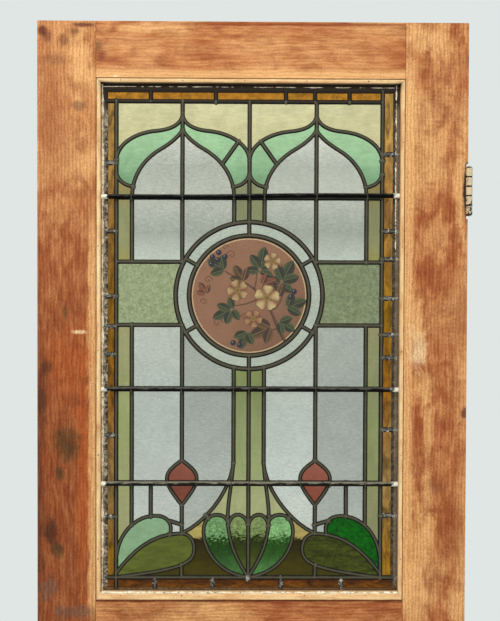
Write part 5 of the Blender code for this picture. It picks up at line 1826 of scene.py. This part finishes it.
def solid(profile, place):
    """A turned shape whose profile starts and ends on the axis."""
    shape = lathe([(max(r, 0.00001), z) for r, z in profile], place)
    bmesh.ops.remove_doubles(shape, verts=shape.verts, dist=0.00005)
    return shape


def screw_hole(x, y, z, way):
    """A countersunk hole through a leaf, wide on the side that way points to."""
    profile = [(0, -0.004), (0.00225, -0.004), (0.00225, -0.0022), (0.0045, 0), (0.0045, 0.001),
               (0, 0.001)]
    shape = solid(profile, (0, 0, 0))
    turn = Matrix.Rotation(way * pi / 2, 4, "Y")
    bmesh.ops.transform(shape, matrix=Matrix.Translation((x, y, z)) @ turn, verts=shape.verts)
    return shape


def hinge_leaf(name, height, side, first):
    """One leaf: side is 1 for the post's and -1 for the door's."""
    near_x = PIN_X + side * LEAF_OFF_PIN
    far_x = near_x + side * LEAF_THICKNESS
    step = LEAF_HEIGHT / KNUCKLES
    low = height - LEAF_HEIGHT / 2
    tubes, gaps, room = [], [], BARREL / 2 + KNUCKLE_ROOM
    for i in range(KNUCKLES):
        reach = (low + i * step, low + (i + 1) * step)
        if i % 2 == first:
            tubes.append(knuckle((PIN_X, PIN_Y, 0), reach[0] + FIT / 2, reach[1] - FIT / 2))
        else:
            gaps.append(block(*span((PIN_X - 0.01, PIN_X + 0.01), (PIN_Y - 0.01, PIN_Y + room),
                                    (reach[0] - FIT, reach[1] + FIT))))
    start, end, radius = low - 0.01, low + LEAF_HEIGHT + 0.01, PIN / 2 + FIT
    bore = solid([(0, start), (radius, start), (radius, end), (0, end)], (PIN_X, PIN_Y, 0))
    holes = [screw_hole(near_x, y, height + z, -side) for y, z in SCREW_SPOTS]
    return carve(name, *span(sorted((near_x, far_x)), (PIN_Y, LEAF_BACK), (low, low + LEAF_HEIGHT)),
                 tubes, [*gaps, bore, *holes], 0.0004)


def hinge_pin(name, height):
    """A pin with a button head at each end."""
    top, radius, head = LEAF_HEIGHT / 2 + FIT, PIN / 2, 0.0045
    upper = [(0, top + 0.0025), (0.0022, top + 0.0024), (0.0036, top + 0.0018),
             (head, top + 0.0008), (head, top), (radius, top)]
    profile = upper + [(r, -z) for r, z in reversed(upper)]
    return link(name, mesh_of(name, solid(profile, (PIN_X, PIN_Y, height))))


for word, height in HINGES.items():
    chipped = chipped_paint(f"iron_chipped_{word}", height)
    for piece, body, node in (
            (hinge_leaf(f"post_leaf_{word}", height, 1, 0), "jamb", f"jamb_leaf_{word}"),
            (hinge_leaf(f"edge_leaf_{word}", height, -1, 1), "door", f"door_leaf_{word}"),
            (hinge_pin(f"pin_{word}", height), "jamb", f"hinge_pin_{word}")):
        coat(piece, chipped)
        smooth(piece)
        hand_over(piece, "painted_iron", node, body=body)
        print(piece.name, len(piece.data.polygons), "faces")

# %% [markdown]
# The door's leaves are held by slotted screws, whose heads are sunk flush with the iron, and the
# beads by small pins that have rusted. A screw is cut once, and set in every hole with a turn of
# its own, since nobody lines up the slots. The pins are drops again, small and low.

# %% Fixings
def screw_head():
    """A slotted countersunk head whose face looks along X."""
    cone = solid([(0, -0.0034), (0.0016, -0.0034), (0.0021, -0.0024), (0.0043, -0.0002),
                  (0.0042, 0), (0, 0.0001)], (0, 0, 0))
    bmesh.ops.transform(cone, matrix=Matrix.Rotation(pi / 2, 4, "Y"), verts=cone.verts)
    slot = block(*span((-0.0009, 0.001), (-0.0006, 0.0006), (-0.006, 0.006)))
    return carve("screw", *span((-0.003, -0.002), (-0.001, 0.001), (-0.001, 0.001)), [cone], [slot],
                 0.00015)


SCREW = screw_head()
holes = [(PIN_X - LEAF_OFF_PIN, y, height + z)
         for height in HINGES.values() for y, z in SCREW_SPOTS]
screws = run_flow(drawn("hinge_screws", holes), SCATTER, Piece=SCREW, Axis=(1.0, 0.0, 0.0),
                  Turn=1.5, Spread=0.02, Seed=6, Material=chipped)
hand_over(screws, "painted_iron")
discard(SCREW)
pin_steps, from_edge, pins = 5, 0.0045, []
for i in range(pin_steps):
    share = (i + 0.4) / pin_steps - 0.5
    x = OPENING_MIDDLE + share * OPENING_WIDTH
    z = (OPENING_BOTTOM + OPENING_TOP) / 2 + share * (OPENING_TOP - OPENING_BOTTOM)
    pins += [(x, BEAD_FRONT_Y, OPENING_TOP - from_edge),
             (x, BEAD_FRONT_Y, OPENING_BOTTOM + 2 * from_edge),
             (OPENING_LEFT + from_edge, BEAD_FRONT_Y, z),
             (OPENING_RIGHT - from_edge, BEAD_FRONT_Y, z)]
heads = run_flow(drawn("bead_pins", pins), DROPS, Width=0.0022, Height=0.0005, Uneven=0.0004,
                 Seed=8, Material=LEAD)
hand_over(heads, "stripped_pine")
print(len(holes), "screws and", len(pins), "pins")
